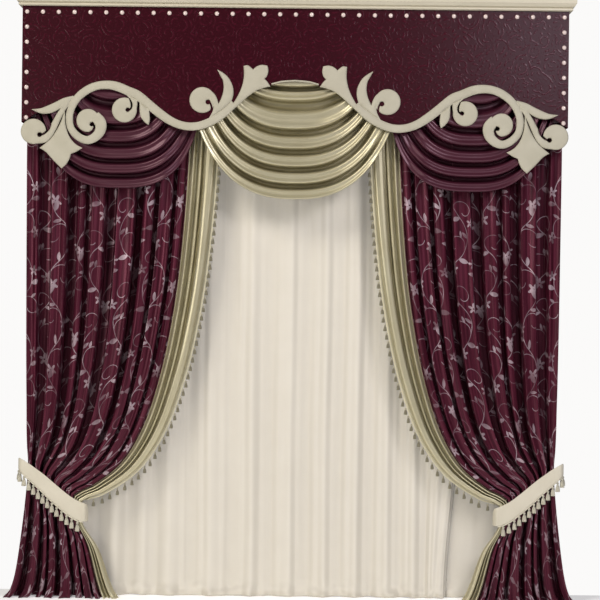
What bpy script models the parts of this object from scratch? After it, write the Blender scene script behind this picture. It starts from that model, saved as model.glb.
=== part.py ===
"""A window dressing: a cornice board with its moulding, a stiff shaped pelmet with a scroll ornament,
three swags, a voile and a pair of drapes with gold edges, tassel fringes and stiff tiebacks.

Metres, Z up, X to the right, and the room on the side of minus Y. The wall is the plane Y = 0, and the
origin is the middle of the board's back edge. Most tables give a place as (across, drop): across is the
distance from the middle of the window, and drop the distance below the moulding's lower edge. The left
and right halves mirror each other.
"""

import math

import bmesh
import bpy
from mathutils import Vector
from mathutils.geometry import delaunay_2d_cdt

LEFT = -1
RIGHT = 1
SIDES = (("left", LEFT), ("right", RIGHT))
GAP = 0.0003

# Board and moulding
BOARD_HALF_THICK = 0.012
BOARD_DEPTH = 0.225
MOULDING_LOW = -0.055
MOULDING_HIGH = 0.030
MOULDING_PROFILE = (  # out from the pelmet's face, height
    (0.000, MOULDING_LOW),
    (0.010, MOULDING_LOW),
    (0.016, -0.051),
    (0.016, -0.044),
    (0.012, -0.041),
    (0.022, -0.036),
    (0.028, -0.026),
    (0.031, -0.022),
    (0.031, 0.008),
    (0.040, 0.016),
    (0.044, 0.020),
    (0.044, MOULDING_HIGH),
    (0.000, MOULDING_HIGH),
)

# Pelmet
PELMET_HALF_WIDTH = 1.230
PELMET_THICK = 0.006
PELMET_FACE = BOARD_DEPTH + GAP + PELMET_THICK
PELMET_RETURN_DROP = 0.524
PELMET_EDGE = (  # across, drop of the shaped lower edge
    (0.000, 0.329), (0.059, 0.333), (0.113, 0.347), (0.167, 0.361), (0.212, 0.382), (0.248, 0.409),
    (0.283, 0.441), (0.328, 0.478), (0.372, 0.508), (0.417, 0.528), (0.471, 0.533), (0.525, 0.527),
    (0.584, 0.499), (0.643, 0.450), (0.698, 0.405), (0.752, 0.381), (0.797, 0.362), (0.856, 0.353),
    (0.914, 0.361), (0.968, 0.386), (1.013, 0.413), (1.057, 0.445), (1.111, 0.469), (1.170, 0.486),
    (PELMET_HALF_WIDTH, PELMET_RETURN_DROP),
)
PIPING_RADIUS = 0.004
PIPING_HALF_WIDTH = 0.106

# Scroll ornament: discs, strokes and leaves that run together, and the slits cut between its turns
SCROLL_THICK = 0.009
SCROLL_DISCS = (  # across, drop, radius
    (1.175, 0.566, 0.057),
    (0.930, 0.514, 0.052),
    (0.767, 0.465, 0.056),
    (0.417, 0.416, 0.058),
)
SCROLL_STROKES = {  # across, drop, width
    "stem": (
        (0.895, 0.486, 0.030), (0.870, 0.520, 0.042), (0.874, 0.560, 0.045), (0.903, 0.592, 0.040),
        (0.938, 0.602, 0.036), (0.977, 0.584, 0.034), (1.007, 0.548, 0.032), (1.014, 0.499, 0.032),
        (1.003, 0.454, 0.032), (0.977, 0.411, 0.034), (0.936, 0.377, 0.036), (0.892, 0.358, 0.036),
        (0.847, 0.353, 0.038), (0.802, 0.359, 0.040), (0.752, 0.379, 0.040), (0.707, 0.399, 0.042),
        (0.652, 0.443, 0.040), (0.607, 0.479, 0.040), (0.561, 0.510, 0.038), (0.516, 0.529, 0.036),
        (0.471, 0.536, 0.036), (0.426, 0.531, 0.036), (0.381, 0.514, 0.036), (0.341, 0.491, 0.036),
        (0.305, 0.462, 0.034), (0.274, 0.430, 0.030),
    ),
    "outer curl": (
        (1.163, 0.609, 0.024), (1.127, 0.599, 0.034), (1.103, 0.574, 0.034), (1.081, 0.536, 0.030),
        (1.061, 0.495, 0.026), (1.039, 0.459, 0.022), (1.012, 0.427, 0.018),
    ),
    "middle curl": (
        (0.779, 0.366, 0.030), (0.747, 0.388, 0.030), (0.724, 0.419, 0.026), (0.722, 0.455, 0.022),
        (0.737, 0.487, 0.016),
    ),
    "inner curl": (
        (0.372, 0.503, 0.030), (0.357, 0.469, 0.026), (0.355, 0.433, 0.022), (0.367, 0.397, 0.018),
        (0.392, 0.373, 0.014),
    ),
    "outer leaf": (
        (0.995, 0.410, 0.014), (1.035, 0.427, 0.028), (1.071, 0.450, 0.036), (1.106, 0.466, 0.036),
        (1.142, 0.473, 0.024), (1.183, 0.467, 0.002),
    ),
    "hanging leaf": (
        (0.684, 0.423, 0.030), (0.679, 0.455, 0.040), (0.674, 0.486, 0.042), (0.665, 0.511, 0.028),
        (0.658, 0.531, 0.002),
    ),
    "upright leaf": (
        (0.355, 0.487, 0.024), (0.328, 0.446, 0.040), (0.306, 0.406, 0.048), (0.300, 0.365, 0.044),
        (0.311, 0.325, 0.030), (0.330, 0.300, 0.018), (0.350, 0.280, 0.002),
    ),
}
SCROLL_CUTS = {  # across, drop, width
    "outer curl": (
        (1.097, 0.532, 0.006), (1.108, 0.556, 0.010), (1.131, 0.577, 0.009), (1.156, 0.580, 0.014),
    ),
    "stem": (
        (0.939, 0.572, 0.004), (0.912, 0.563, 0.010), (0.901, 0.543, 0.010), (0.912, 0.521, 0.008),
    ),
    "middle curl": (
        (0.745, 0.412, 0.004), (0.735, 0.437, 0.008), (0.738, 0.458, 0.008), (0.756, 0.467, 0.012),
    ),
    "inner curl": (
        (0.390, 0.481, 0.004), (0.375, 0.456, 0.008), (0.379, 0.434, 0.008), (0.392, 0.420, 0.012),
    ),
}
SCROLL_LEAVES = {  # runs of (across, drop), each run smooth and each end a point of the leaf
    "corner leaf": (
        ((1.035, 0.454), (1.043, 0.495), (1.063, 0.545), (1.092, 0.592), (1.118, 0.617), (1.147, 0.640)),
        ((1.147, 0.640), (1.118, 0.658), (1.090, 0.689), (1.068, 0.711), (1.047, 0.731)),
        ((1.047, 0.731), (1.027, 0.713), (1.012, 0.688), (1.005, 0.665)),
        ((1.005, 0.665), (0.983, 0.656), (0.954, 0.638)),
        ((0.954, 0.638), (0.988, 0.618), (1.015, 0.584), (1.031, 0.535), (1.034, 0.490), (1.035, 0.454)),
    ),
    "fan leaf": (
        ((0.363, 0.514), (0.319, 0.480), (0.283, 0.437), (0.257, 0.394), (0.239, 0.351), (0.231, 0.306),
         (0.233, 0.261)),
        ((0.233, 0.261), (0.213, 0.258), (0.190, 0.276)),
        ((0.190, 0.276), (0.173, 0.262), (0.150, 0.255), (0.125, 0.259)),
        ((0.125, 0.259), (0.121, 0.282), (0.127, 0.305), (0.138, 0.318)),
        ((0.138, 0.318), (0.125, 0.331), (0.111, 0.352)),
        ((0.111, 0.352), (0.149, 0.361), (0.180, 0.375), (0.216, 0.402), (0.256, 0.439), (0.301, 0.477),
         (0.363, 0.514)),
    ),
}
DISC_POINTS = 16
STROKE_STEPS = 1

# Swags: one row for each fold's crest, from the straight top edge to the hem
SWAG_THICK = 0.0025
SWAG_LAYER_FRONT = 0.209
SWAG_LAYER_BACK = 0.183
SWAG_MIDDLE = 0.195
SWAG_FOLD_DEPTH = 0.040
SWAG_END_DEPTH = 0.018
SWAG_POWER = 2.5
CENTRE_SWAG = (  # drop at the lowest point, reach to the ends, lowest point across, inward and outward power
    (0.344, 0.352, 0.0, SWAG_POWER, SWAG_POWER),
    (0.402, 0.366, 0.0, SWAG_POWER, SWAG_POWER),
    (0.533, 0.392, 0.0, SWAG_POWER, SWAG_POWER),
    (0.623, 0.424, 0.0, SWAG_POWER, SWAG_POWER),
    (0.704, 0.446, 0.0, SWAG_POWER, SWAG_POWER),
    (0.780, 0.487, 0.0, SWAG_POWER, SWAG_POWER),
    (0.854, 0.510, 0.0, SWAG_POWER, SWAG_POWER),
)
SIDE_SWAG = (
    (0.250, 0.238, 0.808, 2.6, 2.5),
    (0.407, 0.252, 0.808, 2.7, 2.5),
    (0.519, 0.268, 0.808, 2.8, 2.5),
    (0.600, 0.314, 0.808, 2.8, 2.5),
    (0.677, 0.364, 0.808, 2.9, 2.6),
    (0.742, 0.394, 0.808, 3.0, 2.6),
    (0.812, 0.411, 0.808, 3.1, 2.6),
)
SWAG_COLUMNS = 12
SWAG_LEAN = ((0.0, 1.0), (0.22, 0.0), (0.62, 0.55))  # place within a fold, how far forward

# Drapes
CLOTH_THICK = 0.002
FLOOR_DROP = 2.674
HEADING_DROP = MOULDING_LOW + BOARD_HALF_THICK + GAP
DRAPE_ROWS = (  # outer edge across, outer drop, inner edge across, inner drop
    (1.215, HEADING_DROP, 0.335, HEADING_DROP),
    (1.217, 0.600, 0.348, 0.600),
    (1.214, 1.120, 0.390, 1.130),
    (1.211, 1.450, 0.450, 1.500),
    (1.208, 1.660, 0.523, 1.770),
    (1.205, 1.800, 0.601, 1.955),
    (1.203, 1.910, 0.708, 2.100),
    (1.199, 1.990, 0.853, 2.198),
    (1.194, 2.045, 0.945, 2.236),
    (1.195, 2.125, 0.945, 2.334),
    (1.214, 2.320, 0.872, 2.450),
    (1.243, 2.540, 0.822, 2.585),
    (1.270, 2.640, 0.795, 2.645),
    (1.300, FLOOR_DROP - 0.001, 0.775, FLOOR_DROP - 0.001),
)
TIE_ROW = 8
SEAM = 0.85
SEAM_FLAT = 0.006
DRAPE_FOLDS = (  # middle as a part of the row, breadth of the front face, how far the crest is set back
    (0.030, 0.058, 0.004),
    (0.177, 0.073, 0.000),
    (0.297, 0.032, 0.012),
    (0.386, 0.062, 0.003),
    (0.534, 0.089, 0.000),
    (0.655, 0.052, 0.007),
    (0.744, 0.062, 0.001),
    (0.820, 0.036, 0.010),
)
BAND_FOLDS = (
    (0.880, 0.012, 0.006),
    (0.922, 0.012, 0.012),
    (0.968, 0.022, 0.000),
)
FULLNESS = 1.72
CREST_Y = 0.160
DEEPEST_FOLD = 0.086
BAND_DEPTH = 0.034
EDGE_FLAT = 0.010
EDGE_FORWARD = 0.5
SEAM_Y = CREST_Y - 0.030
PUDDLE = 0.030

# Tiebacks
TIE_THICK = 0.003
TIE_Y = CREST_Y + 0.001 + 0.0005 + TIE_THICK / 2
TIE_UPPER = (  # across, drop
    (0.910, 2.247), (0.930, 2.246), (0.967, 2.232), (1.004, 2.210), (1.049, 2.174), (1.118, 2.116),
    (1.187, 2.066), (1.240, 2.036),
)
TIE_LOWER = (
    (0.910, 2.327), (0.929, 2.327), (0.966, 2.321), (1.003, 2.301), (1.048, 2.265), (1.094, 2.225),
    (1.140, 2.180), (1.186, 2.139), (1.240, 2.090),
)
TIE_PLAN = (  # across, distance from the wall, from the wall round the front and back to the wall
    (1.2390, 0.001), (1.2390, 0.120), (1.2360, 0.146), (1.2280, 0.158), (1.2140, TIE_Y),
    (1.1600, TIE_Y), (1.1050, TIE_Y), (1.0500, TIE_Y), (0.9950, TIE_Y), (0.9400, TIE_Y),
    (0.9260, 0.158), (0.9180, 0.142), (0.9160, 0.110), (0.9200, 0.084), (0.9360, 0.069),
    (0.9700, 0.0640), (1.0800, 0.0620), (1.1700, 0.0580), (1.2180, 0.044), (1.2310, 0.022),
    (1.2315, 0.001),
)

# Fringes
STRIP_THICK = 0.002
EDGE_STRIP_WIDTH = 0.008
EDGE_FRINGE_FROM = 0.640
EDGE_FRINGE_TO = 2.205
EDGE_TASSEL_PITCH = 0.036
EDGE_TASSEL_SIZE = (0.013, 0.010, 0.027)  # breadth, depth, length
TIE_STRIP_WIDTH = 0.006
TIE_TASSEL_PITCH = 0.0215
TIE_TASSEL_SIZE = (0.017, 0.012, 0.042)
TASSEL_NECK = 0.0025

# Voile
VOILE_THICK = 0.001
VOILE_Y = 0.036
VOILE_DEPTH = 0.013
VOILE_HALF_WIDTH = 1.000
VOILE_CRESTS = (
    -0.965, -0.804, -0.680, -0.560, -0.371, -0.183, -0.008, 0.153, 0.296, 0.438, 0.562, 0.677,
)
VOILE_TURN = (  # across, how far forward: the last fold ends in a free edge with the cloth well behind it
    (0.735, 0.90), (0.751, 0.75), (0.759, -0.60), (0.860, -0.35), (0.930, 0.30),
)
VOILE_ROWS = (HEADING_DROP, 0.500, 1.300, 2.100, FLOOR_DROP - 0.001)


def height(drop):
    """The Z of a place given as a drop below the moulding's lower edge."""
    return MOULDING_LOW - drop


def spline(points, steps):
    """A smooth line through the points, with the given number of steps between two of them."""
    line = []
    last = len(points) - 1
    for i in range(last):
        before = Vector(points[max(i - 1, 0)])
        start = Vector(points[i])
        end = Vector(points[i + 1])
        after = Vector(points[min(i + 2, last)])
        for step in range(steps):
            t = step / steps
            pull = (end - before) / 2
            lead = (after - start) / 2
            line.append(
                (2 * t**3 - 3 * t**2 + 1) * start
                + (t**3 - 2 * t**2 + t) * pull
                + (3 * t**2 - 2 * t**3) * end
                + (t**3 - t**2) * lead
            )
    line.append(Vector(points[last]))
    return line


def at(table, x):
    """The second number of a table at x, in a straight line between its rows."""
    rows = sorted(table)
    if x <= rows[0][0]:
        return rows[0][1]
    for (x0, y0), (x1, y1) in zip(rows, rows[1:]):
        if x <= x1:
            return y0 + (y1 - y0) * (x - x0) / (x1 - x0)
    return rows[-1][1]


def smooth(x, low, high):
    """0 up to low, 1 from high on, and a soft step between."""
    t = min(max((x - low) / (high - low), 0.0), 1.0)
    return t * t * (3 - 2 * t)


def finish(name, colour, roughness):
    """The Principled material of this name, made once."""
    found = bpy.data.materials.get(name)
    if found:
        return found
    material = bpy.data.materials.new(name)
    material.use_nodes = True
    shader = material.node_tree.nodes["Principled BSDF"]
    shader.inputs["Base Color"].default_value = (*colour, 1.0)
    shader.inputs["Roughness"].default_value = roughness
    shader.inputs["Metallic"].default_value = 0.0
    material.diffuse_color = (*colour, 1.0)
    return material


def painted():
    return finish("cornice_paint", (0.78, 0.76, 0.56), 0.45)


def board_wood():
    return finish("board_wood", (0.62, 0.47, 0.30), 0.7)


def pelmet_cloth():
    return finish("embossed_cloth", (0.055, 0.006, 0.014), 0.5)


def ornament_cloth():
    return finish("ornament_cloth", (0.60, 0.56, 0.44), 0.55)


def burgundy_satin():
    return finish("burgundy_satin", (0.13, 0.020, 0.045), 0.4)


def gold_satin():
    return finish("gold_satin", (0.50, 0.46, 0.28), 0.38)


def vine_cloth():
    return finish("vine_cloth", (0.10, 0.014, 0.035), 0.5)


def tie_cloth():
    return finish("tie_cloth", (0.70, 0.67, 0.54), 0.6)


def fringe_yarn():
    return finish("fringe_yarn", (0.66, 0.62, 0.50), 0.75)


def voile_cloth():
    return finish("voile_cloth", (0.80, 0.75, 0.66), 0.8)


def place(name, bm, material):
    """Makes an object of the bmesh, with its faces turned outwards."""
    bmesh.ops.recalc_face_normals(bm, faces=bm.faces)
    mesh = bpy.data.meshes.new(name)
    bm.to_mesh(mesh)
    bm.free()
    obj = bpy.data.objects.new(name, mesh)
    obj.data.materials.append(material)
    bpy.context.scene.collection.objects.link(obj)
    return obj


def sheet(name, rows, thick, material):
    """Cloth through a grid of points, thickened to both sides of it."""
    bm = bmesh.new()
    grid = [[bm.verts.new(point) for point in row] for row in rows]
    for upper, lower in zip(grid, grid[1:]):
        for i in range(len(upper) - 1):
            bm.faces.new((upper[i], upper[i + 1], lower[i + 1], lower[i]))
    obj = place(name, bm, material)
    solid = obj.modifiers.new("Thickness", "SOLIDIFY")
    solid.thickness = thick
    solid.offset = 0.0
    solid.use_even_offset = False
    return obj


def box(name, low, high, material):
    """A box between two corners."""
    bm = bmesh.new()
    bmesh.ops.create_cube(bm, size=1.0)
    for vert in bm.verts:
        for axis in range(3):
            vert.co[axis] = low[axis] if vert.co[axis] < 0 else high[axis]
    return place(name, bm, material)


def board():
    """The plain board from wall to pelmet that everything hangs from."""
    half = PELMET_HALF_WIDTH - PELMET_THICK - GAP
    low = (-half, -BOARD_DEPTH, -BOARD_HALF_THICK)
    high = (half, 0.0, BOARD_HALF_THICK)
    return box("cornice_board", low, high, board_wood())


def moulding():
    """The profile carried round the pelmet's front and both returns, mitred at the corners."""
    inner = PELMET_HALF_WIDTH + GAP
    face = PELMET_FACE + GAP
    bm = bmesh.new()
    sections = []
    for x, y, out_x, out_y in (
        (-inner, 0.0, -1, 0),
        (-inner, -face, -1, -1),
        (inner, -face, 1, -1),
        (inner, 0.0, 1, 0),
    ):
        ring = [bm.verts.new((x + out_x * out, y + out_y * out, z)) for out, z in MOULDING_PROFILE]
        sections.append(ring)
    count = len(MOULDING_PROFILE)
    for ring, after in zip(sections, sections[1:]):
        for i in range(count):
            j = (i + 1) % count
            bm.faces.new((ring[i], ring[j], after[j], after[i]))
    bm.faces.new(sections[0])
    bm.faces.new(reversed(sections[-1]))
    return place("cornice_moulding", bm, painted())


def pelmet_outline():
    """Plan of the panel's outer face as (x, y, drop of the lower edge), wall to wall."""
    half = [(across, -PELMET_FACE, drop) for across, drop in PELMET_EDGE]
    left = [(-x, y, drop) for x, y, drop in reversed(half)]
    wall = (0.0, PELMET_RETURN_DROP)
    return [(-PELMET_HALF_WIDTH, *wall), *left, *half[1:], (PELMET_HALF_WIDTH, *wall)]


def pelmet():
    """A stiff covered board with two returns, its lower edge cut to the line of the scrolls."""
    bm = bmesh.new()
    columns = []
    for x, y, drop in pelmet_outline():
        inner_x = math.copysign(min(abs(x), PELMET_HALF_WIDTH - PELMET_THICK), x)
        inner_y = max(y, -PELMET_FACE + PELMET_THICK)
        low = height(drop)
        corners = ((x, y, BOARD_HALF_THICK), (inner_x, inner_y, BOARD_HALF_THICK), (inner_x, inner_y, low),
                   (x, y, low))
        columns.append([bm.verts.new(corner) for corner in corners])
    for ring, after in zip(columns, columns[1:]):
        for i in range(4):
            j = (i + 1) % 4
            bm.faces.new((ring[i], ring[j], after[j], after[i]))
    bm.faces.new(columns[0])
    bm.faces.new(reversed(columns[-1]))
    return place("pelmet_panel", bm, pelmet_cloth())


def piping():
    """The thin cord along the pelmet's middle arch, between the two fan leaves."""
    curve = bpy.data.curves.new("arch_piping", "CURVE")
    curve.dimensions = "3D"
    curve.bevel_depth = PIPING_RADIUS
    curve.bevel_resolution = 1
    curve.use_fill_caps = True
    line = curve.splines.new("POLY")
    steps = 10
    line.points.add(steps)
    for i in range(steps + 1):
        x = PIPING_HALF_WIDTH * (2 * i / steps - 1)
        z = height(at(PELMET_EDGE, abs(x))) + PIPING_RADIUS
        line.points[i].co = (x, -PELMET_FACE - GAP - PIPING_RADIUS, z, 1.0)
    obj = bpy.data.objects.new("arch_piping", curve)
    curve.materials.append(ornament_cloth())
    bpy.context.scene.collection.objects.link(obj)
    return obj


def ribbon(stroke, steps):
    """Four-cornered patches along a stroke whose rows are (across, drop, width)."""
    line = spline(stroke, steps)
    edges = []
    for i, point in enumerate(line):
        ahead = line[min(i + 1, len(line) - 1)] - line[max(i - 1, 0)]
        normal = Vector((-ahead.y, ahead.x)).normalized()
        middle = Vector((point.x, point.y))
        edges.append((middle + normal * point.z / 2, middle - normal * point.z / 2))
    return [[a, b, d, c] for (a, b), (c, d) in zip(edges, edges[1:])]


def disc(across, drop, radius):
    turns = [2 * math.pi * i / DISC_POINTS for i in range(DISC_POINTS)]
    return [Vector((across + radius * math.cos(a), drop + radius * math.sin(a))) for a in turns]


def leaf(runs, steps):
    outline = []
    for run in runs:
        outline.extend(spline(run, steps)[:-1])
    return outline


def area(outline):
    return sum(a.x * b.y - b.x * a.y for a, b in zip(outline, outline[1:] + outline[:1])) / 2


def cut_out(name, shapes, cuts, side, material):
    """One flat solid of all the shapes run together, less the cuts."""
    points = []
    faces = []
    for outline in shapes + cuts:
        start = len(points)
        turned = outline if area(outline) > 0 else outline[::-1]
        points.extend(turned)
        faces.append(list(range(start, len(points))))
    verts, _, triangles, _, _, owners = delaunay_2d_cdt(points, [], faces, 1, 1e-5, True)
    kept = []
    for triangle, inside in zip(triangles, owners):
        if inside and max(inside) < len(shapes):
            kept.append(triangle)
    bm = bmesh.new()
    face_y = -PELMET_FACE - GAP
    front = {}
    back = {}
    for i in {i for triangle in kept for i in triangle}:
        x, z = side * verts[i].x, height(verts[i].y)
        back[i] = bm.verts.new((x, face_y, z))
        front[i] = bm.verts.new((x, face_y - SCROLL_THICK, z))
    used = set()
    for a, b, c in kept:
        bm.faces.new((front[a], front[b], front[c]))
        bm.faces.new((back[c], back[b], back[a]))
        used.update(((a, b), (b, c), (c, a)))
    for a, b in used:
        if (b, a) not in used:
            bm.faces.new((front[a], back[a], back[b], front[b]))
    bmesh.ops.dissolve_limit(bm, angle_limit=math.radians(3), verts=bm.verts, edges=bm.edges)
    bmesh.ops.triangulate(bm, faces=bm.faces)
    return place(name, bm, material)


def scroll(name, side):
    shapes = [disc(*row) for row in SCROLL_DISCS]
    shapes += [leaf(runs, STROKE_STEPS) for runs in SCROLL_LEAVES.values()]
    for stroke in SCROLL_STROKES.values():
        shapes += ribbon(stroke, STROKE_STEPS)
    cuts = []
    for slit in SCROLL_CUTS.values():
        cuts += ribbon(slit, STROKE_STEPS)
    return cut_out(f"scroll_{name}", shapes, cuts, side, ornament_cloth())


def swag_rows(crests):
    """Rows of (drop, reach, middle, inward power, outward power, forward), three for each fold."""
    top = (HEADING_DROP + 0.001, *crests[0][1:], 0.5)
    rows = [top]
    for crest, below in zip(crests, crests[1:]):
        for part, forward in SWAG_LEAN:
            blend = [a + (b - a) * part for a, b in zip(crest, below)]
            rows.append((*blend, forward))
    rows.append((*crests[-1], 1.0))
    return rows


def swag(name, side, crests, layer, joins):
    """Cloth hung in crescent folds from the board, its ends gathered up behind the pelmet.

    joins lists the stretches (from, to) of across where it turns into the layer that passes its neighbour.
    """
    grid = []
    for row, (drop, reach, middle, inward, outward, forward) in enumerate(swag_rows(crests)):
        line = []
        for column in range(SWAG_COLUMNS + 1):
            turn = math.pi * column / SWAG_COLUMNS
            power = inward if turn < math.pi / 2 else outward
            part = math.copysign(abs(math.cos(turn)) ** (2 / power), -math.cos(turn))
            hang = abs(math.sin(turn)) ** (2 / power)
            across = middle + reach * part
            fall = HEADING_DROP + (drop - HEADING_DROP) * (hang if row else 1.0)
            near_end = max(smooth(across, *join) for join in joins)
            depth = SWAG_FOLD_DEPTH + (SWAG_END_DEPTH - SWAG_FOLD_DEPTH) * near_end
            y = SWAG_MIDDLE + (layer - SWAG_MIDDLE) * near_end + depth * (forward - 0.5)
            line.append((side * across, -y, height(fall)))
        grid.append(line)
    material = gold_satin() if layer == SWAG_LAYER_FRONT else burgundy_satin()
    return sheet(name, grid, SWAG_THICK, material)


def fold_columns(folds, start, end):
    """Columns of (part of the row, forward, fold depth share, set back) across a run of folds."""
    columns = [(start, 0.0, 0.5, 0.0)]
    if start == SEAM:
        columns.append((start + SEAM_FLAT, 0.0, 0.5, 0.0))
    for i, (middle, breadth, back) in enumerate(folds):
        left = folds[i - 1][0] + folds[i - 1][1] / 2 if i else start
        right = folds[i + 1][0] - folds[i + 1][1] / 2 if i + 1 < len(folds) else end
        crest_start = middle - breadth / 2
        crest_end = middle + breadth / 2
        share = (right - left) / 2 + breadth / 2
        columns.append((max(crest_start, start + 0.004), 1.0, share, back))
        columns.append((crest_end, 1.0, share, back))
        if i + 1 < len(folds):
            gap = right - crest_end
            columns.append((crest_end + gap * 0.36, 0.0, share, 0.0))
            columns.append((crest_end + gap * 0.64, 0.0, share, 0.0))
    if end == SEAM:
        columns.append((end - SEAM_FLAT, 0.0, 0.5, 0.0))
        columns.append((end, 0.0, 0.5, 0.0))
    else:
        columns.append((end - EDGE_FLAT, EDGE_FORWARD, 0.5, 0.0))
        columns.append((end, EDGE_FORWARD, 0.5, 0.0))
    return columns


def drape_point(row, part, forward, share, back, band):
    """A place on the drape: part runs from 0 at the outer edge to 1 at the leading edge."""
    outer, outer_drop, inner, inner_drop = DRAPE_ROWS[row]
    across = outer + (inner - outer) * part
    drop = outer_drop + (inner_drop - outer_drop) * part
    length = math.hypot(outer - inner, outer_drop - inner_drop)
    top = DRAPE_ROWS[0][0] - DRAPE_ROWS[0][2]
    pitch = share * top
    depth = math.sqrt(max((FULLNESS * pitch / 2) ** 2 - (share * length / 2) ** 2, 0.0004))
    depth = BAND_DEPTH if band else min(depth, DEEPEST_FOLD)
    free = min(abs(row - TIE_ROW), abs(row - TIE_ROW - 1), 3) / 3
    crest = CREST_Y - back * free
    if row > TIE_ROW + 2:
        crest += PUDDLE * (row - TIE_ROW - 2) / 3 * (0.6 + 0.4 * math.sin(17 * part))
    y = crest - depth * (1 - forward)
    return across, y, drop


def drape_grid(side, columns, band, seam_gap):
    """Rows of points for the columns of one piece of the drape, pinned to the seam at its sewn edge."""
    grid = []
    for row, (outer, outer_drop, inner, inner_drop) in enumerate(DRAPE_ROWS):
        length = math.hypot(outer - inner, outer_drop - inner_drop)
        line = []
        for part, forward, share, back in columns:
            across, y, drop = drape_point(row, part, forward, share, back, band)
            if abs(part - SEAM) < SEAM_FLAT * 1.01:
                y = SEAM_Y
            if part == SEAM:
                shift = seam_gap / length
                across += (inner - outer) * shift
                drop += (inner_drop - outer_drop) * shift
            line.append((side * across, -y, height(drop)))
        grid.append(line)
    return grid


def drape(name, side):
    columns = fold_columns(DRAPE_FOLDS, 0.0, SEAM)
    return sheet(f"drape_{name}", drape_grid(side, columns, False, 0.0), CLOTH_THICK, vine_cloth())


def edge_band(name, side):
    columns = fold_columns(BAND_FOLDS, SEAM, 1.0)
    grid = drape_grid(side, columns, True, 2 * GAP)
    return sheet(f"edge_band_{name}", grid, CLOTH_THICK, gold_satin())


def tieback(name, side):
    upper = []
    lower = []
    for across, from_wall in TIE_PLAN:
        upper.append((side * across, -from_wall, height(at(TIE_UPPER, across))))
        lower.append((side * across, -from_wall, height(at(TIE_LOWER, across))))
    return sheet(f"tieback_{name}", [upper, lower], TIE_THICK, tie_cloth())


def clipped(rows, low, high):
    """The stretch of a line of (across, y, drop) whose drop is between low and high."""
    line = []
    for a, b in zip(rows, rows[1:]):
        start, end = Vector(a), Vector(b)
        for limit in (low, high):
            if start.z < limit < end.z:
                cut = start + (end - start) * ((limit - start.z) / (end.z - start.z))
                line.append(cut)
        if low <= end.z <= high:
            line.append(end)
    return sorted(line, key=lambda point: point.z)


def strip_places(line, pitch):
    """(place, direction, has a tassel) along a line: its ends and corners, and a tassel at each pitch."""
    places = [(line[0], (line[1] - line[0]).normalized(), False)]
    wanted = pitch / 2
    gone = 0.0
    for i in range(len(line) - 1):
        start, end = line[i], line[i + 1]
        step = (end - start).length
        ahead = (end - start).normalized()
        while wanted < gone + step - 2 * TASSEL_NECK:
            along = max(wanted - gone, 2 * TASSEL_NECK)
            places.append((start + ahead * along, ahead, True))
            wanted += pitch
        gone += step
        after = (line[i + 2] - end).normalized() if i + 2 < len(line) else ahead
        places.append((end, (ahead + after).normalized(), False))
    return places


def fringe(name, line, outward, across_of, strip_width, pitch, size, lean):
    """A narrow strip along the line with tassels that hang from its free edge.

    outward turns the line's direction into that of the free edge, across_of turns a root corner's offset
    into its foot's side, and lean shifts a tassel's foot from its root.
    """
    breadth, depth, length = size
    bm = bmesh.new()
    half = Vector((0.0, STRIP_THICK / 2, 0.0))

    def section(point, direction):
        out = outward(direction) * strip_width
        corners = (point + half, point - half, point + out - half, point + out + half)
        return [bm.verts.new(corner) for corner in corners]

    sections = []
    feet = []
    for point, direction, tassel in strip_places(line, pitch):
        if tassel:
            sections.append(section(point - direction * TASSEL_NECK, direction))
            sections.append(section(point + direction * TASSEL_NECK, direction))
            foot = point + outward(direction) * strip_width + lean
            feet.append((len(sections) - 2, foot))
        else:
            sections.append(section(point, direction))
    rooted = {index for index, _ in feet}
    for i, (ring, after) in enumerate(zip(sections, sections[1:])):
        for corner in range(4):
            if corner == 2 and i in rooted:
                continue
            other = (corner + 1) % 4
            bm.faces.new((ring[corner], ring[other], after[other], after[corner]))
    bm.faces.new(sections[0])
    bm.faces.new(reversed(sections[-1]))
    for index, foot in feet:
        ring, after = sections[index], sections[index + 1]
        root = (ring[2], ring[3], after[3], after[2])
        middle = sum((vert.co for vert in root), Vector()) / 4
        bottom = []
        for vert in root:
            offset = vert.co - middle
            x = math.copysign(breadth / 2, across_of(offset))
            y = math.copysign(depth / 2, offset.y)
            bottom.append(bm.verts.new(foot + Vector((x, y, -length))))
        for i in range(4):
            j = (i + 1) % 4
            bm.faces.new((root[i], root[j], bottom[j], bottom[i]))
        bm.faces.new(bottom)
    return place(name, bm, fringe_yarn())


def edge_fringe(name, side):
    """Tassels down the leading edge, from just under the swags to the tieback."""
    rows = [drape_point(row, 1.0, EDGE_FORWARD, 0.5, 0.0, True) for row in range(TIE_ROW + 1)]
    line = []
    for across, y, drop in clipped(rows, EDGE_FRINGE_FROM, EDGE_FRINGE_TO):
        line.append(Vector((side * (across - 2 * GAP), -y, height(drop) - 2 * GAP)))

    def outward(direction):
        return Vector((side * direction.z, 0.0, -side * direction.x)).normalized()

    def across_of(offset):
        return -side * offset.z

    lean = Vector((-side * 0.004, 0.0, -0.002))
    measures = (EDGE_STRIP_WIDTH, EDGE_TASSEL_PITCH, EDGE_TASSEL_SIZE)
    return fringe(f"edge_fringe_{name}", line, outward, across_of, *measures, lean)


def tie_fringe(name, side):
    """Tassels under the front of the tieback."""
    line = []
    for across, from_wall in TIE_PLAN:
        if from_wall == TIE_Y:
            drop = at(TIE_LOWER, across) + 2 * GAP
            line.append(Vector((side * across, -TIE_Y, height(drop))))

    def outward(direction):
        return Vector((0.0, 0.0, -1.0))

    def across_of(offset):
        return offset.x

    lean = Vector((0.0, -0.004, -0.001))
    measures = (TIE_STRIP_WIDTH, TIE_TASSEL_PITCH, TIE_TASSEL_SIZE)
    return fringe(f"tie_fringe_{name}", line, outward, across_of, *measures, lean)


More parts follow.
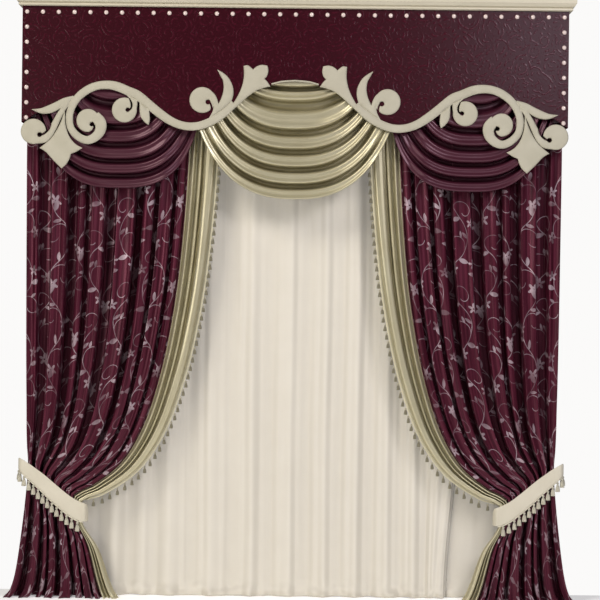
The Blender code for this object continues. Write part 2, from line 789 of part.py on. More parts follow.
def voile():
    """A sheer flat curtain in soft folds behind the drapes."""
    columns = [(-VOILE_HALF_WIDTH, 0.0)]
    for crest, after in zip(VOILE_CRESTS, VOILE_CRESTS[1:]):
        columns += [(crest, 1.0), ((crest + after) / 2, 0.0)]
    columns += [(VOILE_CRESTS[-1], 1.0), *VOILE_TURN, (VOILE_HALF_WIDTH, 0.0)]
    grid = []
    for i, drop in enumerate(VOILE_ROWS):
        spread = 0.7 + 0.3 * i / (len(VOILE_ROWS) - 1)
        line = []
        for x, forward in columns:
            y = VOILE_Y + VOILE_DEPTH * 2 * spread * (forward - 0.5)
            line.append((x, -y, height(drop)))
        grid.append(line)
    return sheet("voile", grid, VOILE_THICK, voile_cloth())


def main():
    for obj in list(bpy.data.objects):
        bpy.data.objects.remove(obj, do_unlink=True)
    board()
    moulding()
    pelmet()
    piping()
    swag("swag_centre", LEFT, CENTRE_SWAG, SWAG_LAYER_FRONT, ((0.30, 0.386), (-0.30, -0.386)))
    voile()
    for name, side in SIDES:
        scroll(name, side)
        swag(f"swag_{name}", side, SIDE_SWAG, SWAG_LAYER_BACK, ((0.60, 0.51), (1.10, 1.18)))
        drape(name, side)
        edge_band(name, side)
        edge_fringe(name, side)
        tieback(name, side)
        tie_fringe(name, side)


main()
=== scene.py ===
"""The looks of a window dressing: painted cornice, embossed pelmet with pearl studs and a padded scroll,
satin swags, patterned drapes with gold edges and tassel fringes, stiff tiebacks and a sheer voile.

Metres, Z up, the room on the side of minus Y, and the origin in the middle of the board's back edge.
Places are given as (across, drop): the distance from the middle, and the distance below the moulding.
"""

import math

import bmesh
import bpy
import numpy as np
from mathutils import Matrix, Vector, noise
from mathutils.geometry import delaunay_2d_cdt


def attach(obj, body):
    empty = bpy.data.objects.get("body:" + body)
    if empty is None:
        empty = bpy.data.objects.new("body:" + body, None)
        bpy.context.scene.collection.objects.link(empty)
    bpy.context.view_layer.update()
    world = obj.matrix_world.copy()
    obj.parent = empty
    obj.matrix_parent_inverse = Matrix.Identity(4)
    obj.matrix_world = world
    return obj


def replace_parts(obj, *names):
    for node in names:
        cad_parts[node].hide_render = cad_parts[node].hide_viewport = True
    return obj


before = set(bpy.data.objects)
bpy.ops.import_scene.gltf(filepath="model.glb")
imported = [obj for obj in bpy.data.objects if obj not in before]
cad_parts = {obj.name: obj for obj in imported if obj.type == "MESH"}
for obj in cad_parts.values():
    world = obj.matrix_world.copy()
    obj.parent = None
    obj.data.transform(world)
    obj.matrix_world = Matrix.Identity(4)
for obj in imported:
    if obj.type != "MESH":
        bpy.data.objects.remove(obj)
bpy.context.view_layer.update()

LEFT = -1
RIGHT = 1
SIDES = (("left", LEFT), ("right", RIGHT))
MM = 0.001
GAP = 0.0003

# The frame's own places
MOULDING_LOW = -0.055
BOARD_HALF_THICK = 0.012
PELMET_HALF_WIDTH = 1.230
PELMET_FACE = 0.2313
FLOOR_DROP = 2.674
HEADING_DROP = MOULDING_LOW + BOARD_HALF_THICK + GAP

# Camera, as the photograph was taken
CAMERA_DISTANCE = 9.0
CAMERA_ACROSS = 0.0326
CAMERA_DROP = 1.311
FRAME_WIDTH = 2.70
CAMERA_ROLL = 0.0112

# Studio floor and light
FLOOR_MIDDLE = -2.9
FLOOR_SIZE = (9.0, 6.0)
WORLD_LIGHT = 0.06
LAMPS = (  # name, place, aimed at, size, power, colour
    ("key", (-3.4, -4.2, 3.1), (0.0, -0.15, -1.3), (2.1, 2.1), 224.0, "#fff9f1"),
    ("right_lamp", (3.2, -4.8, 1.7), (0.0, -0.15, -1.4), (1.5, 1.5), 154.0, "#fbf8ff"),
    ("low_fill", (-3.2, -5.2, -0.9), (0.0, -0.15, -1.5), (1.2, 1.2), 50.0, "#fffaf4"),
    ("pelmet_sheen", (1.8, -5.0, 0.4), (0.9, -0.23, -0.3), (0.6, 0.6), 20.0, "#f6f2ff"),
)

# Scroll ornament
SCROLL_THICK = 0.009
SCROLL_RIM = 0.0035
SCROLL_ROUNDING = 0.0055
SCROLL_DISCS = (  # across, drop, radius, all of these tables in mm
    (1175, 566, 57),
    (930, 514, 52),
    (767, 465, 56),
    (417, 416, 58),
)
SCROLL_STROKES = {  # across, drop, width
    "stem": (
        (895, 486, 30), (870, 520, 42), (874, 560, 45), (903, 592, 40), (938, 602, 36), (977, 584, 34),
        (1007, 548, 32), (1014, 499, 32), (1003, 454, 32), (977, 411, 34), (936, 377, 36), (892, 358, 36),
        (847, 353, 38), (802, 359, 40), (752, 379, 40), (707, 399, 42), (652, 443, 40), (607, 479, 40),
        (561, 510, 38), (516, 529, 36), (471, 536, 36), (426, 531, 36), (381, 514, 36), (341, 491, 36),
        (305, 462, 34), (274, 430, 30),
    ),
    "outer curl": (
        (1163, 609, 24), (1127, 599, 34), (1103, 574, 34), (1081, 536, 30), (1061, 495, 26),
        (1039, 459, 22), (1012, 427, 18),
    ),
    "middle curl": (
        (779, 366, 30), (747, 388, 30), (724, 419, 26), (722, 455, 22), (737, 487, 16),
    ),
    "inner curl": (
        (372, 503, 30), (357, 469, 26), (355, 433, 22), (367, 397, 18), (392, 373, 14),
    ),
    "outer leaf": (
        (995, 410, 14), (1035, 427, 28), (1071, 450, 36), (1106, 466, 36), (1142, 473, 24), (1183, 467, 2),
    ),
    "hanging leaf": (
        (684, 423, 30), (679, 455, 40), (674, 486, 42), (665, 511, 28), (658, 531, 2),
    ),
    "upright leaf": (
        (355, 487, 24), (328, 446, 40), (306, 406, 48), (300, 365, 44), (311, 325, 30), (330, 300, 18),
        (350, 280, 2),
    ),
}
SCROLL_CUTS = {  # across, drop, width
    "outer curl": (
        (1097, 532, 6), (1108, 556, 10), (1131, 577, 9), (1156, 580, 14),
    ),
    "stem": (
        (939, 572, 4), (912, 563, 10), (901, 543, 10), (912, 521, 8),
    ),
    "middle curl": (
        (745, 412, 4), (735, 437, 8), (738, 458, 8), (756, 467, 12),
    ),
    "inner curl": (
        (390, 481, 4), (375, 456, 8), (379, 434, 8), (392, 420, 12),
    ),
}
SCROLL_LEAVES = {  # runs of (across, drop), each run smooth and each end a point of the leaf
    "corner leaf": (
        ((1035, 454), (1043, 495), (1063, 545), (1092, 592), (1118, 617), (1147, 640)),
        ((1147, 640), (1118, 658), (1090, 689), (1068, 711), (1047, 731)),
        ((1047, 731), (1027, 713), (1012, 688), (1005, 665)),
        ((1005, 665), (983, 656), (954, 638)),
        ((954, 638), (988, 618), (1015, 584), (1031, 535), (1034, 490), (1035, 454)),
    ),
    "fan leaf": (
        ((363, 514), (319, 480), (283, 437), (257, 394), (239, 351), (231, 306),
         (233, 261)),
        ((233, 261), (213, 258), (190, 276)),
        ((190, 276), (173, 262), (150, 255), (125, 259)),
        ((125, 259), (121, 282), (127, 305), (138, 318)),
        ((138, 318), (125, 331), (111, 352)),
        ((111, 352), (149, 361), (180, 375), (216, 402), (256, 439), (301, 477),
         (363, 514)),
    ),
}
SCROLL_EYES = (  # across, drop, radius
    (1147, 580, 10.5),
    (913, 531, 9.5),
    (752, 464, 9.5),
    (391, 425, 11),
)
SCROLL_GROOVES = (  # stroke, side of it, from and to which of its points
    ("stem", 1, 6.8, 9.6),
    ("stem", -1, 12.8, 16.6),
    ("stem", 1, 21.2, 25.0),
    ("inner curl", 1, 0.3, 2.0),
)
GROOVE_WIDTH = 0.0042
GROOVE_DEPTH = 1.25
ROLL_INSET = 0.0034
ROLL_WIDTH = 0.0018
ROLL_HEIGHT = 0.22
CURVE_STEPS = 4
DISC_POINTS = 48
RIM_INSETS = (0.0012, 0.0028, 0.0050, 0.0080)
GROOVE_SIDES = (-0.0045, -0.0022, 0.0, 0.0022, 0.0045)
FLAT_PITCH = 0.009
FLAT_INSET = 0.0105

# Pearl studs along the pelmet's top and sides
STUD_RADIUS = 0.0102
STUD_TOP_DROP = 0.027
STUD_TOP_COUNT = 35
STUD_SIDE_COUNT = 7
STUD_SIDE_PITCH = 0.068
STUD_INSET = 0.021
STUD_HEIGHT = 0.62  # as a part of the radius

# Swags: one row for each fold's crest
SWAG_THICK = 0.0025
SWAG_LAYER_FRONT = 0.209
SWAG_LAYER_BACK = 0.183
SWAG_CREST = 0.2235
SWAG_END_DEPTH = 0.020
CENTRE_FOLD_DEPTH = 0.092
SIDE_FOLD_DEPTH = 0.064
CENTRE_SWAG = (  # drop at the lowest point, reach to the ends, lowest point across, inward and outward power
    (0.344, 0.352, 0.0, 2.5, 2.5),
    (0.402, 0.366, 0.0, 2.5, 2.5),
    (0.533, 0.392, 0.0, 2.5, 2.5),
    (0.623, 0.424, 0.0, 2.5, 2.5),
    (0.704, 0.446, 0.0, 2.5, 2.5),
    (0.780, 0.487, 0.0, 2.5, 2.5),
    (0.854, 0.510, 0.0, 2.5, 2.5),
)
SIDE_SWAG = (
    (0.250, 0.238, 0.808, 2.6, 2.5),
    (0.407, 0.252, 0.808, 2.7, 2.5),
    (0.519, 0.268, 0.808, 2.8, 2.5),
    (0.600, 0.314, 0.808, 2.8, 2.5),
    (0.677, 0.364, 0.808, 2.9, 2.6),
    (0.742, 0.394, 0.808, 3.0, 2.6),
    (0.812, 0.411, 0.808, 3.1, 2.6),
)
SWAG_CREASE = 0.002
SWAG_COLUMNS = 72
SWAG_FOLD_ROWS = 30
SWAG_PROFILE = (  # place within a fold, how far forward: a broad band between two ridges, over a deep pocket
    (0.000, 1.000), (0.040, 0.975), (0.075, 0.880), (0.092, 0.700), (0.088, 0.480), (0.080, 0.250),
    (0.095, 0.080), (0.155, 0.010), (0.250, 0.000), (0.335, 0.040), (0.395, 0.200), (0.428, 0.450),
    (0.462, 0.680), (0.515, 0.820), (0.585, 0.885), (0.665, 0.875), (0.755, 0.865), (0.850, 0.905),
    (0.930, 0.970), (1.000, 1.000),
)
SWAG_HEM = ((0.0016, 0.97), (0.0020, 0.90), (-0.0010, 0.83))  # further drop, how far forward

# Drapes
CLOTH_THICK = 0.002
DRAPE_ROWS = (  # outer edge across, outer drop, inner edge across, inner drop
    (1.215, HEADING_DROP, 0.335, HEADING_DROP),
    (1.217, 0.600, 0.348, 0.600),
    (1.214, 1.120, 0.390, 1.130),
    (1.211, 1.450, 0.450, 1.500),
    (1.208, 1.660, 0.523, 1.770),
    (1.205, 1.800, 0.601, 1.955),
    (1.203, 1.910, 0.708, 2.100),
    (1.199, 1.990, 0.853, 2.198),
    (1.194, 2.045, 0.945, 2.236),
    (1.195, 2.125, 0.945, 2.334),
    (1.214, 2.320, 0.872, 2.450),
    (1.243, 2.540, 0.822, 2.585),
    (1.270, 2.640, 0.795, 2.645),
    (1.300, FLOOR_DROP - 0.001, 0.775, FLOOR_DROP - 0.001),
)
TIE_ROW = 8
SEAM = 0.85
SEAM_FLAT = 0.006
SEAM_LAP = 0.005
DRAPE_FOLDS = (  # middle as a part of the row, breadth of the front face, how far the crest is set back
    (0.030, 0.058, 0.004),
    (0.177, 0.073, 0.000),
    (0.297, 0.032, 0.012),
    (0.386, 0.062, 0.003),
    (0.534, 0.089, 0.000),
    (0.655, 0.052, 0.007),
    (0.744, 0.062, 0.001),
    (0.820, 0.036, 0.010),
)
BAND_FOLDS = (
    (0.878, 0.010, 0.014),
    (0.914, 0.010, 0.022),
    (0.963, 0.040, 0.000),
)
FULLNESS = 1.72
WALL_SHARE = 0.20
WIDE_FACE = 0.055
WIDE_SWELL = -0.011
NARROW_SWELL = 0.004
CREST_Y = 0.160
DEEPEST_FOLD = 0.086
BAND_DEPTH = 0.046
EDGE_FLAT = 0.010
EDGE_FORWARD = 0.5
SEAM_Y = CREST_Y - 0.030
PUDDLE = 0.030
FOLD_WANDER = 0.006  # as a part of the row
ROW_PITCH = 0.022
COLUMN_PITCH = 0.0085
WRINKLES = (  # depth, waves across in a metre, waves down in a metre
    (0.0060, 15, 0.8),
    (0.0050, 42, 1.0),
)

# Vine pattern on the drapes, on the flat cloth
VINE_TILE = (0.30, 0.42)
VINE_COLUMN_DROP = 0.16
VINE_WARP = 0.036
VINE_FINENESS = 1.1
VINE_STEMS = (  # across, up, heading, half width, then arcs of (radius, turn to the left); degrees
    (0.075, 0.000, 140, 0.0019, ((0.137, -100), (0.137, 100))),
    (0.230, 0.130, 40, 0.0019, ((0.137, 100), (0.137, -100))),
    (0.039, 0.163, 60, 0.0016, ((0.058, -150), (0.030, -170))),
    (0.111, 0.373, 120, 0.0016, ((0.055, 150), (0.028, 160))),
    (0.266, 0.177, 110, 0.0016, ((0.050, 140), (0.026, 170))),
    (0.194, 0.387, 100, 0.0016, ((0.060, -140), (0.030, -170))),
    (0.026, 0.105, 130, 0.0014, ((0.060, 60),)),
    (0.279, 0.235, 50, 0.0014, ((0.060, -60),)),
)
VINE_LEAVES = (  # across, up, heading, length, breadth
    (0.039, 0.047, 70, 0.062, 0.025),
    (0.075, 0.210, 92, 0.050, 0.019),
    (0.111, 0.257, 12, 0.060, 0.024),
    (0.075, 0.000, 188, 0.046, 0.018),
    (0.230, 0.130, 350, 0.056, 0.022),
    (0.266, 0.293, 62, 0.050, 0.019),
    (0.230, 0.340, 190, 0.064, 0.026),
    (0.181, 0.025, 42, 0.048, 0.018),
    (0.104, 0.190, 32, 0.036, 0.014),
    (0.223, 0.029, 78, 0.038, 0.015),
)
VINE_FLOWERS = (  # across, up, radius, first petal's heading
    (-0.043, 0.124, 0.031, 15),
    (0.348, 0.254, 0.033, 50),
    (0.138, 0.322, 0.030, 80),
    (0.160, 0.105, 0.028, 30),
)
VINE_PETALS = 5
FEATHER = 0.0006

# Patterns
CURL_PITCH = 0.018
WAVE_BANDS = 20  # a wave texture's bands in a metre at scale 1

# Tiebacks
TIE_THICK = 0.003
TIE_Y = CREST_Y + 0.001 + 0.0005 + TIE_THICK / 2
TIE_UPPER = (  # across, drop
    (0.910, 2.247), (0.930, 2.246), (0.967, 2.232), (1.004, 2.210), (1.049, 2.174), (1.118, 2.116),
    (1.187, 2.066), (1.240, 2.036),
)
TIE_LOWER = (
    (0.910, 2.327), (0.929, 2.327), (0.966, 2.321), (1.003, 2.301), (1.048, 2.265), (1.094, 2.225),
    (1.140, 2.180), (1.186, 2.139), (1.240, 2.090),
)
TIE_PLAN = (  # across, distance from the wall, from the wall round the front and back to the wall
    (1.2390, 0.001), (1.2390, 0.120), (1.2360, 0.146), (1.2280, 0.158), (1.2140, TIE_Y),
    (1.1600, TIE_Y), (1.1050, TIE_Y), (1.0500, TIE_Y), (0.9950, TIE_Y), (0.9400, TIE_Y),
    (0.9320, 0.160), (0.9250, 0.146), (0.9230, 0.116), (0.9270, 0.088), (0.9400, 0.069),
    (0.9700, 0.0640), (1.0800, 0.0620), (1.1700, 0.0580), (1.2180, 0.044), (1.2310, 0.022),
    (1.2315, 0.001),
)
TIE_FALL = 0.024  # how much lower the upper edge hangs behind
TIE_ROWS = 6
TIE_ROUNDING = 0.0011

# Fringes
STRIP_THICK = 0.002
EDGE_STRIP_WIDTH = 0.008
EDGE_FRINGE_FROM = 0.640
EDGE_FRINGE_TO = 2.228
EDGE_TASSEL_PITCH = 0.039
EDGE_TASSEL = (0.0076, 0.032)  # radius of the skirt, length
TIE_STRIP_WIDTH = 0.006
TIE_TASSEL_PITCH = 0.0290
TIE_TASSEL = (0.0102, 0.044)
TIE_RETURN = (  # across, distance from the wall, where the fringe goes on round the outer end
    (1.2385, 0.085), (1.2385, 0.110), (1.2370, 0.135), (1.2300, 0.155),
)
TASSEL_PROFILE = (  # drop as a part of the length, radius as a part of the skirt's
    (0.00, 0.22), (0.06, 0.50), (0.14, 0.62), (0.22, 0.52), (0.27, 0.34), (0.32, 0.46), (0.45, 0.74),
    (0.70, 0.92), (0.97, 1.00), (1.00, 0.80),
)
TASSEL_SIDES = 10

# Voile
VOILE_THICK = 0.001
VOILE_Y = 0.036
VOILE_DEPTH = 0.013
VOILE_HALF_WIDTH = 1.000
VOILE_FOLDS = (  # across, how far forward, as the crests and valleys follow each other
    (-1.000, 0.00), (-0.965, 1.00), (-0.885, 0.00), (-0.804, 1.00), (-0.745, 0.05), (-0.680, 0.75),
    (-0.630, 0.20), (-0.560, 1.00), (-0.500, 0.45), (-0.465, 0.00), (-0.410, 0.55), (-0.371, 1.00),
    (-0.318, 0.50), (-0.277, 0.00), (-0.225, 0.50), (-0.183, 1.00), (-0.135, 0.30), (-0.096, 0.05),
    (-0.055, 0.60), (-0.008, 0.90), (0.030, 0.35), (0.072, 0.00), (0.115, 0.55), (0.153, 1.00),
    (0.190, 0.40), (0.224, 0.15), (0.262, 0.70), (0.296, 1.00), (0.340, 0.25), (0.367, 0.00),
    (0.405, 0.50), (0.438, 0.90), (0.475, 0.35), (0.500, 0.10), (0.535, 0.60), (0.562, 1.00),
    (0.600, 0.35), (0.620, 0.20), (0.650, 0.70), (0.677, 1.00), (0.710, 0.80), (0.735, 0.92),
    (0.751, 0.75), (0.759, -0.60), (0.800, -0.50), (0.860, -0.35), (0.930, 0.30), (1.000, 0.00),
)
VOILE_COLUMNS = 400
VOILE_SWAY = 0.010
VOILE_CREASE = 0.0022
VOILE_CRUMPLE = 0.016
VOILE_BREAK = 2.55  # the drop from which the rows lie closer, for the cloth that breaks on the floor
VOILE_FREE_EDGE = (0.735, 0.765)
VOILE_COVER = 0.68


def linear(code):
    """An sRGB hex colour as linear RGBA."""
    channels = [int(code[i : i + 2], 16) / 255 for i in (1, 3, 5)]
    return (*(c / 12.92 if c <= 0.04045 else ((c + 0.055) / 1.055) ** 2.4 for c in channels), 1.0)


def add(tree, kind, *values, **settings):
    """Adds one node and returns its first output in use.

    The kind may end in the node's operation. The values fill the node's inputs in order, and the settings are
    its own properties or inputs by name. A value that is another node's output is linked.
    """
    kind, _, operation = kind.partition(" ")
    node = tree.nodes.new(f"ShaderNode{kind}")
    if operation:
        node.operation = operation
    for key, value in [*settings.items(), *enumerate(values)]:
        if isinstance(key, str) and hasattr(node, key):
            setattr(node, key, value)
            continue
        socket = node.inputs[key.replace("_", " ") if isinstance(key, str) else key]
        if isinstance(value, bpy.types.NodeSocket):
            tree.links.new(value, socket)
        else:
            socket.default_value = value
    return next(output for output in node.outputs if output.enabled)


def start_material(name, colour, roughness, **sockets):
    """A Principled material with these socket values, and its tree and shader."""
    material = bpy.data.materials.new(name)
    material.use_nodes = True
    tree = material.node_tree
    shader = tree.nodes["Principled BSDF"]
    shader.inputs["Base Color"].default_value = linear(colour)
    shader.inputs["Roughness"].default_value = roughness
    for key, value in sockets.items():
        shader.inputs[key.replace("_", " ")].default_value = value
    return material, tree, shader


def smoothstep(x, low, high):
    t = min(max((x - low) / (high - low), 0.0), 1.0)
    return t * t * (3 - 2 * t)


def height(drop):
    """The Z of a place given as a drop below the moulding's lower edge."""
    return MOULDING_LOW - drop


def metres(rows):
    """A table of millimetres in metres."""
    return [row / 1000 if isinstance(row, (int, float)) else metres(row) for row in rows]


def curve_at(points, place):
    """A smooth line through the points, read at a place counted in points."""
    last = len(points) - 1
    i = min(max(int(place), 0), last - 1)
    t = place - i
    before, start, end, after = (np.asarray(points[min(max(k, 0), last)], float) for k in range(i - 1, i + 3))
    pull, lead = (end - before) / 2, (after - start) / 2
    return (
        (2 * t**3 - 3 * t**2 + 1) * start
        + (t**3 - 2 * t**2 + t) * pull
        + (3 * t**2 - 2 * t**3) * end
        + (t**3 - t**2) * lead
    )


def spline(points, steps):
    count = (len(points) - 1) * steps
    return [curve_at(points, i / steps) for i in range(count + 1)]


def at(table, x):
    """The second number of a table at x, on straight lines between its rows."""
    xs, ys = zip(*sorted(table))
    return float(np.interp(x, xs, ys))


def piece(name, bm, finish):
    """Puts a mesh in the scene as a piece that rides on the root. A finish is a material and its slot; the
    slot is not used.
    """
    material, slot = finish
    mesh = bpy.data.meshes.new(name)
    bm.to_mesh(mesh)
    bm.free()
    mesh.materials.append(material)
    for polygon in mesh.polygons:
        polygon.use_smooth = True
    obj = bpy.data.objects.new(name, mesh)
    bpy.context.scene.collection.objects.link(obj)
    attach(obj, "root")
    return obj


def cloth_sheet(node, ending, side, grid, thick, finish, rounded=0.0, **sheet):
    """Cloth through a grid of points in place of a node, thickened both ways, its edges rounded where asked.

    Its UV map is in metres along the cloth: across by the first row's arc, down by each column's.
    """
    points = np.array(grid, float)
    across = np.concatenate([[0], np.cumsum(np.linalg.norm(np.diff(points[0], axis=0), axis=1))])
    steps = np.linalg.norm(np.diff(points, axis=0), axis=2)
    down = np.vstack([np.zeros(points.shape[1]), np.cumsum(steps, axis=0)])
    bm = bmesh.new()
    verts = [[bm.verts.new(point) for point in row] for row in grid]
    layer = bm.loops.layers.uv.new("cloth")
    for r in range(len(grid) - 1):
        for c in range(len(grid[0]) - 1):
            corners = [(r, c), (r + 1, c), (r + 1, c + 1), (r, c + 1)]
            if side == RIGHT:
                corners.reverse()
            face = bm.faces.new([verts[i][j] for i, j in corners])
            for loop, (i, j) in zip(face.loops, corners):
                loop[layer].uv = (across[j], -down[i, j])
    obj = piece(f"{node}_{ending}", bm, finish)
    solid = obj.modifiers.new("Thickness", "SOLIDIFY")
    solid.thickness = thick
    solid.offset = 0.0
    if rounded:
        soften = obj.modifiers.new("Rounded edges", "BEVEL")
        soften.width = rounded
        soften.segments = 2
        soften.limit_method = "ANGLE"
        soften.angle_limit = math.radians(60)
    bpy.ops.object.select_all(action="DESELECT")
    bpy.context.view_layer.objects.active = obj
    obj.select_set(True)
    for modifier in list(obj.modifiers):
        bpy.ops.object.modifier_apply(modifier=modifier.name)
    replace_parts(obj, node)


# The drape's surface


def fold_knots(folds, start, end):
    """Knots across a run of folds: part of the row, forward, fold's share of it, set back, swell after it."""
    knots = [(start, 0.0, 0.5, 0.0, 0.0)]
    if start == SEAM:
        knots.append((start + SEAM_FLAT, 0.0, 0.5, 0.0, 0.0))
    for i, (middle, breadth, back) in enumerate(folds):
        left = folds[i - 1][0] + folds[i - 1][1] / 2 if i else start
        right = folds[i + 1][0] - folds[i + 1][1] / 2 if i + 1 < len(folds) else end
        crest_end = middle + breadth / 2
        share = (right - left) / 2 + breadth / 2
        swell = NARROW_SWELL if breadth < WIDE_FACE else WIDE_SWELL
        knots.append((max(middle - breadth / 2, start + 0.004), 1.0, share, back, swell))
        knots.append((crest_end, 1.0, share, back, 0.0))
        if i + 1 < len(folds):
            gap = right - crest_end
            knots.append((crest_end + gap * WALL_SHARE, 0.0, share, 0.0, 0.0))
            knots.append((crest_end + gap * (1 - WALL_SHARE), 0.0, share, 0.0, 0.0))
    if end == SEAM:
        knots.append((end - SEAM_FLAT, 0.0, 0.5, 0.0, 0.0))
        knots.append((end, 0.0, 0.5, 0.0, 0.0))
    else:
        knots.append((end - EDGE_FLAT, EDGE_FORWARD, 0.5, 0.0, 0.0))
        knots.append((end, EDGE_FORWARD, 0.5, 0.0, 0.0))
    return knots


def fold_at(knots, part):
    """(forward, share, set back, swell) at a part of the row, on soft steps between the knots."""
    for (p0, f0, s0, b0, swell), (p1, f1, s1, b1, _) in zip(knots, knots[1:]):
        if part <= p1 or p1 == knots[-1][0]:
            t = min(max((part - p0) / (p1 - p0), 0.0), 1.0)
            forward = f0 + (f1 - f0) * smoothstep(t, 0.0, 1.0)
            return forward, s0 + (s1 - s0) * t, b0 + (b1 - b0) * t, swell * 4 * t * (1 - t)


def free_of_tie(row):
    """0 within the tieback and 1 well away from it."""
    away = max(TIE_ROW - row, row - TIE_ROW - 1, 0.0)
    return smoothstep(away, 0.0, 3.0)


def drape_place(part, row, fold, band):
    """(across, distance from the wall, drop) on the drape, part from 0 at the outer edge to 1."""
    forward, share, back, swell = fold
    outer, outer_drop, inner, inner_drop = curve_at(DRAPE_ROWS, row)
    free = free_of_tie(row)
    drift = noise.noise(Vector((part * 9.0, row * 0.35, 3.1)))
    part_now = part + FOLD_WANDER * free * drift * (1.0 - abs(2 * part - 1))
    across = outer + (inner - outer) * part_now
    drop = outer_drop + (inner_drop - outer_drop) * part_now
    length = math.hypot(outer - inner, outer_drop - inner_drop)
    pitch = share * (DRAPE_ROWS[0][0] - DRAPE_ROWS[0][2])
    depth = math.sqrt(max((FULLNESS * pitch / 2) ** 2 - (share * length / 2) ** 2, 0.0004))
    depth = BAND_DEPTH if band else min(depth, DEEPEST_FOLD)
    crest = CREST_Y - back * free
    if row > TIE_ROW + 2:
        crest += PUDDLE * (row - TIE_ROW - 2) / 3 * (0.6 + 0.4 * math.sin(17 * part))
    y = crest - depth * (1 - forward) + swell * (0.3 + 0.7 * free)
    return across, y, drop


def drape_rows():
    """Row places down the drape, close enough together for a smooth cloth."""
    places = []
    for i in range(len(DRAPE_ROWS) - 1):
        run = max(DRAPE_ROWS[i + 1][1] - DRAPE_ROWS[i][1], DRAPE_ROWS[i + 1][3] - DRAPE_ROWS[i][3])
        count = max(round(run / ROW_PITCH), 2)
        places += [i + k / count for k in range(count)]
    return [*places, len(DRAPE_ROWS) - 1.0]


def drape_columns(knots):
    """Parts of the row from knot to knot, close enough together for round folds."""
    width = DRAPE_ROWS[0][0] - DRAPE_ROWS[0][2]
    parts = []
    for (p0, *_), (p1, *_) in zip(knots, knots[1:]):
        count = max(round((p1 - p0) * width / COLUMN_PITCH), 5)
        parts += [p0 + (p1 - p0) * k / count for k in range(count)]
    return [*parts, knots[-1][0]]


def drape_grid(side, folds, start, end):
    """A drape's cloth up to the seam, or its band from there to the free edge."""
    knots = fold_knots(folds, start, end)
    band = start == SEAM
    grid = []
    for row in drape_rows():
        line = []
        outer, outer_drop, inner, inner_drop = curve_at(DRAPE_ROWS, row)
        length = math.hypot(outer - inner, outer_drop - inner_drop)
        free = free_of_tie(row)
        for part in drape_columns(knots):
            across, y, drop = drape_place(part, row, fold_at(knots, part), band)
            near_seam = abs(part - SEAM)
            if near_seam < SEAM_FLAT * 1.01:
                y = SEAM_Y
                if band:
                    tucked = 1 - near_seam / SEAM_FLAT
                    y -= (CLOTH_THICK + GAP) * min(2 * tucked, 1.0)
                    across -= (inner - outer) * SEAM_LAP * tucked / length
                    drop -= (inner_drop - outer_drop) * SEAM_LAP * tucked / length
            loose = free * smoothstep(near_seam, SEAM_FLAT, 0.03) * smoothstep(row, 0.0, 1.0)
            loose *= smoothstep(len(DRAPE_ROWS) - 1 - row, 0.0, 0.5)
            if not band or part < 0.98:
                for deep, over, down in WRINKLES:
                    y += deep * loose * noise.noise(Vector((part * over * 1.5, drop * down, over)))
            line.append((side * across, -y, height(drop)))
        grid.append(line)
    return grid


# Swags


def swag_rows(crests):
    """Rows of (drop, reach, middle, inward power, outward power, forward) down a swag."""
    top = (HEADING_DROP + 0.001, *crests[0][1:], 0.5)
    rows = [top]
    for k in range(1, 6):
        blend = [a + (b - a) * k / 6 for a, b in zip(top[:5], crests[0])]
        rows.append((*blend, 0.5 + 0.5 * k / 6))
    last = len(SWAG_PROFILE) - 1
    for crest, below in zip(crests, crests[1:]):
        for k in range(SWAG_FOLD_ROWS):
            part, forward = curve_at(SWAG_PROFILE, last * k / SWAG_FOLD_ROWS)
            blend = [a + (b - a) * part for a, b in zip(crest, below)]
            rows.append((*blend, forward))
    hem = crests[-1]
    rows.append((*hem, 1.0))
    rows += [(hem[0] + further, *hem[1:], forward) for further, forward in SWAG_HEM]
    return rows


def swag_grid(side, crests, layer, deep, joins):
    grid = []
    for row, (drop, reach, middle, inward, outward, forward) in enumerate(swag_rows(crests)):
        line = []
        for column in range(SWAG_COLUMNS + 1):
            turn = math.pi * column / SWAG_COLUMNS
            power = inward if turn < math.pi / 2 else outward
            part = math.copysign(abs(math.cos(turn)) ** (2 / power), -math.cos(turn))
            hang = abs(math.sin(turn)) ** (2 / power)
            across = middle + reach * part
            fall = HEADING_DROP + (drop - HEADING_DROP) * (hang if row else 1.0)
            near_end = max(smoothstep(across, *join) for join in joins)
            depth = deep + (SWAG_END_DEPTH - deep) * near_end
            front = SWAG_CREST + (layer + SWAG_END_DEPTH / 2 - SWAG_CREST) * near_end
            y = front - depth * (1 - forward)
            y += SWAG_CREASE * noise.noise(Vector((across * 9, fall * 22, layer * 50))) * (1 - near_end)
            line.append((side * across, -y, height(fall)))
        grid.append(line)
    return grid


# Scroll ornament


def ribbon(stroke):
    """Four-cornered patches along a stroke whose rows are (across, drop, width)."""
    line = spline(stroke, CURVE_STEPS)
    edges = []
    for i, (x, y, width) in enumerate(line):
        ahead = line[min(i + 1, len(line) - 1)] - line[max(i - 1, 0)]
        normal = np.array((-ahead[1], ahead[0])) / math.hypot(ahead[0], ahead[1])
        middle = np.array((x, y))
        edges.append((middle + normal * width / 2, middle - normal * width / 2))
    return [[a, b, d, c] for (a, b), (c, d) in zip(edges, edges[1:])]


def disc(across, drop, radius):
    turns = [2 * math.pi * i / DISC_POINTS for i in range(DISC_POINTS)]
    return [np.array((across + radius * math.cos(a), drop + radius * math.sin(a))) for a in turns]


def leaf(runs):
    outline = []
    for run in runs:
        outline.extend(spline(run, CURVE_STEPS)[:-1])
    return outline


def area_of(outline):
    return sum(a[0] * b[1] - b[0] * a[1] for a, b in zip(outline, outline[1:] + outline[:1])) / 2


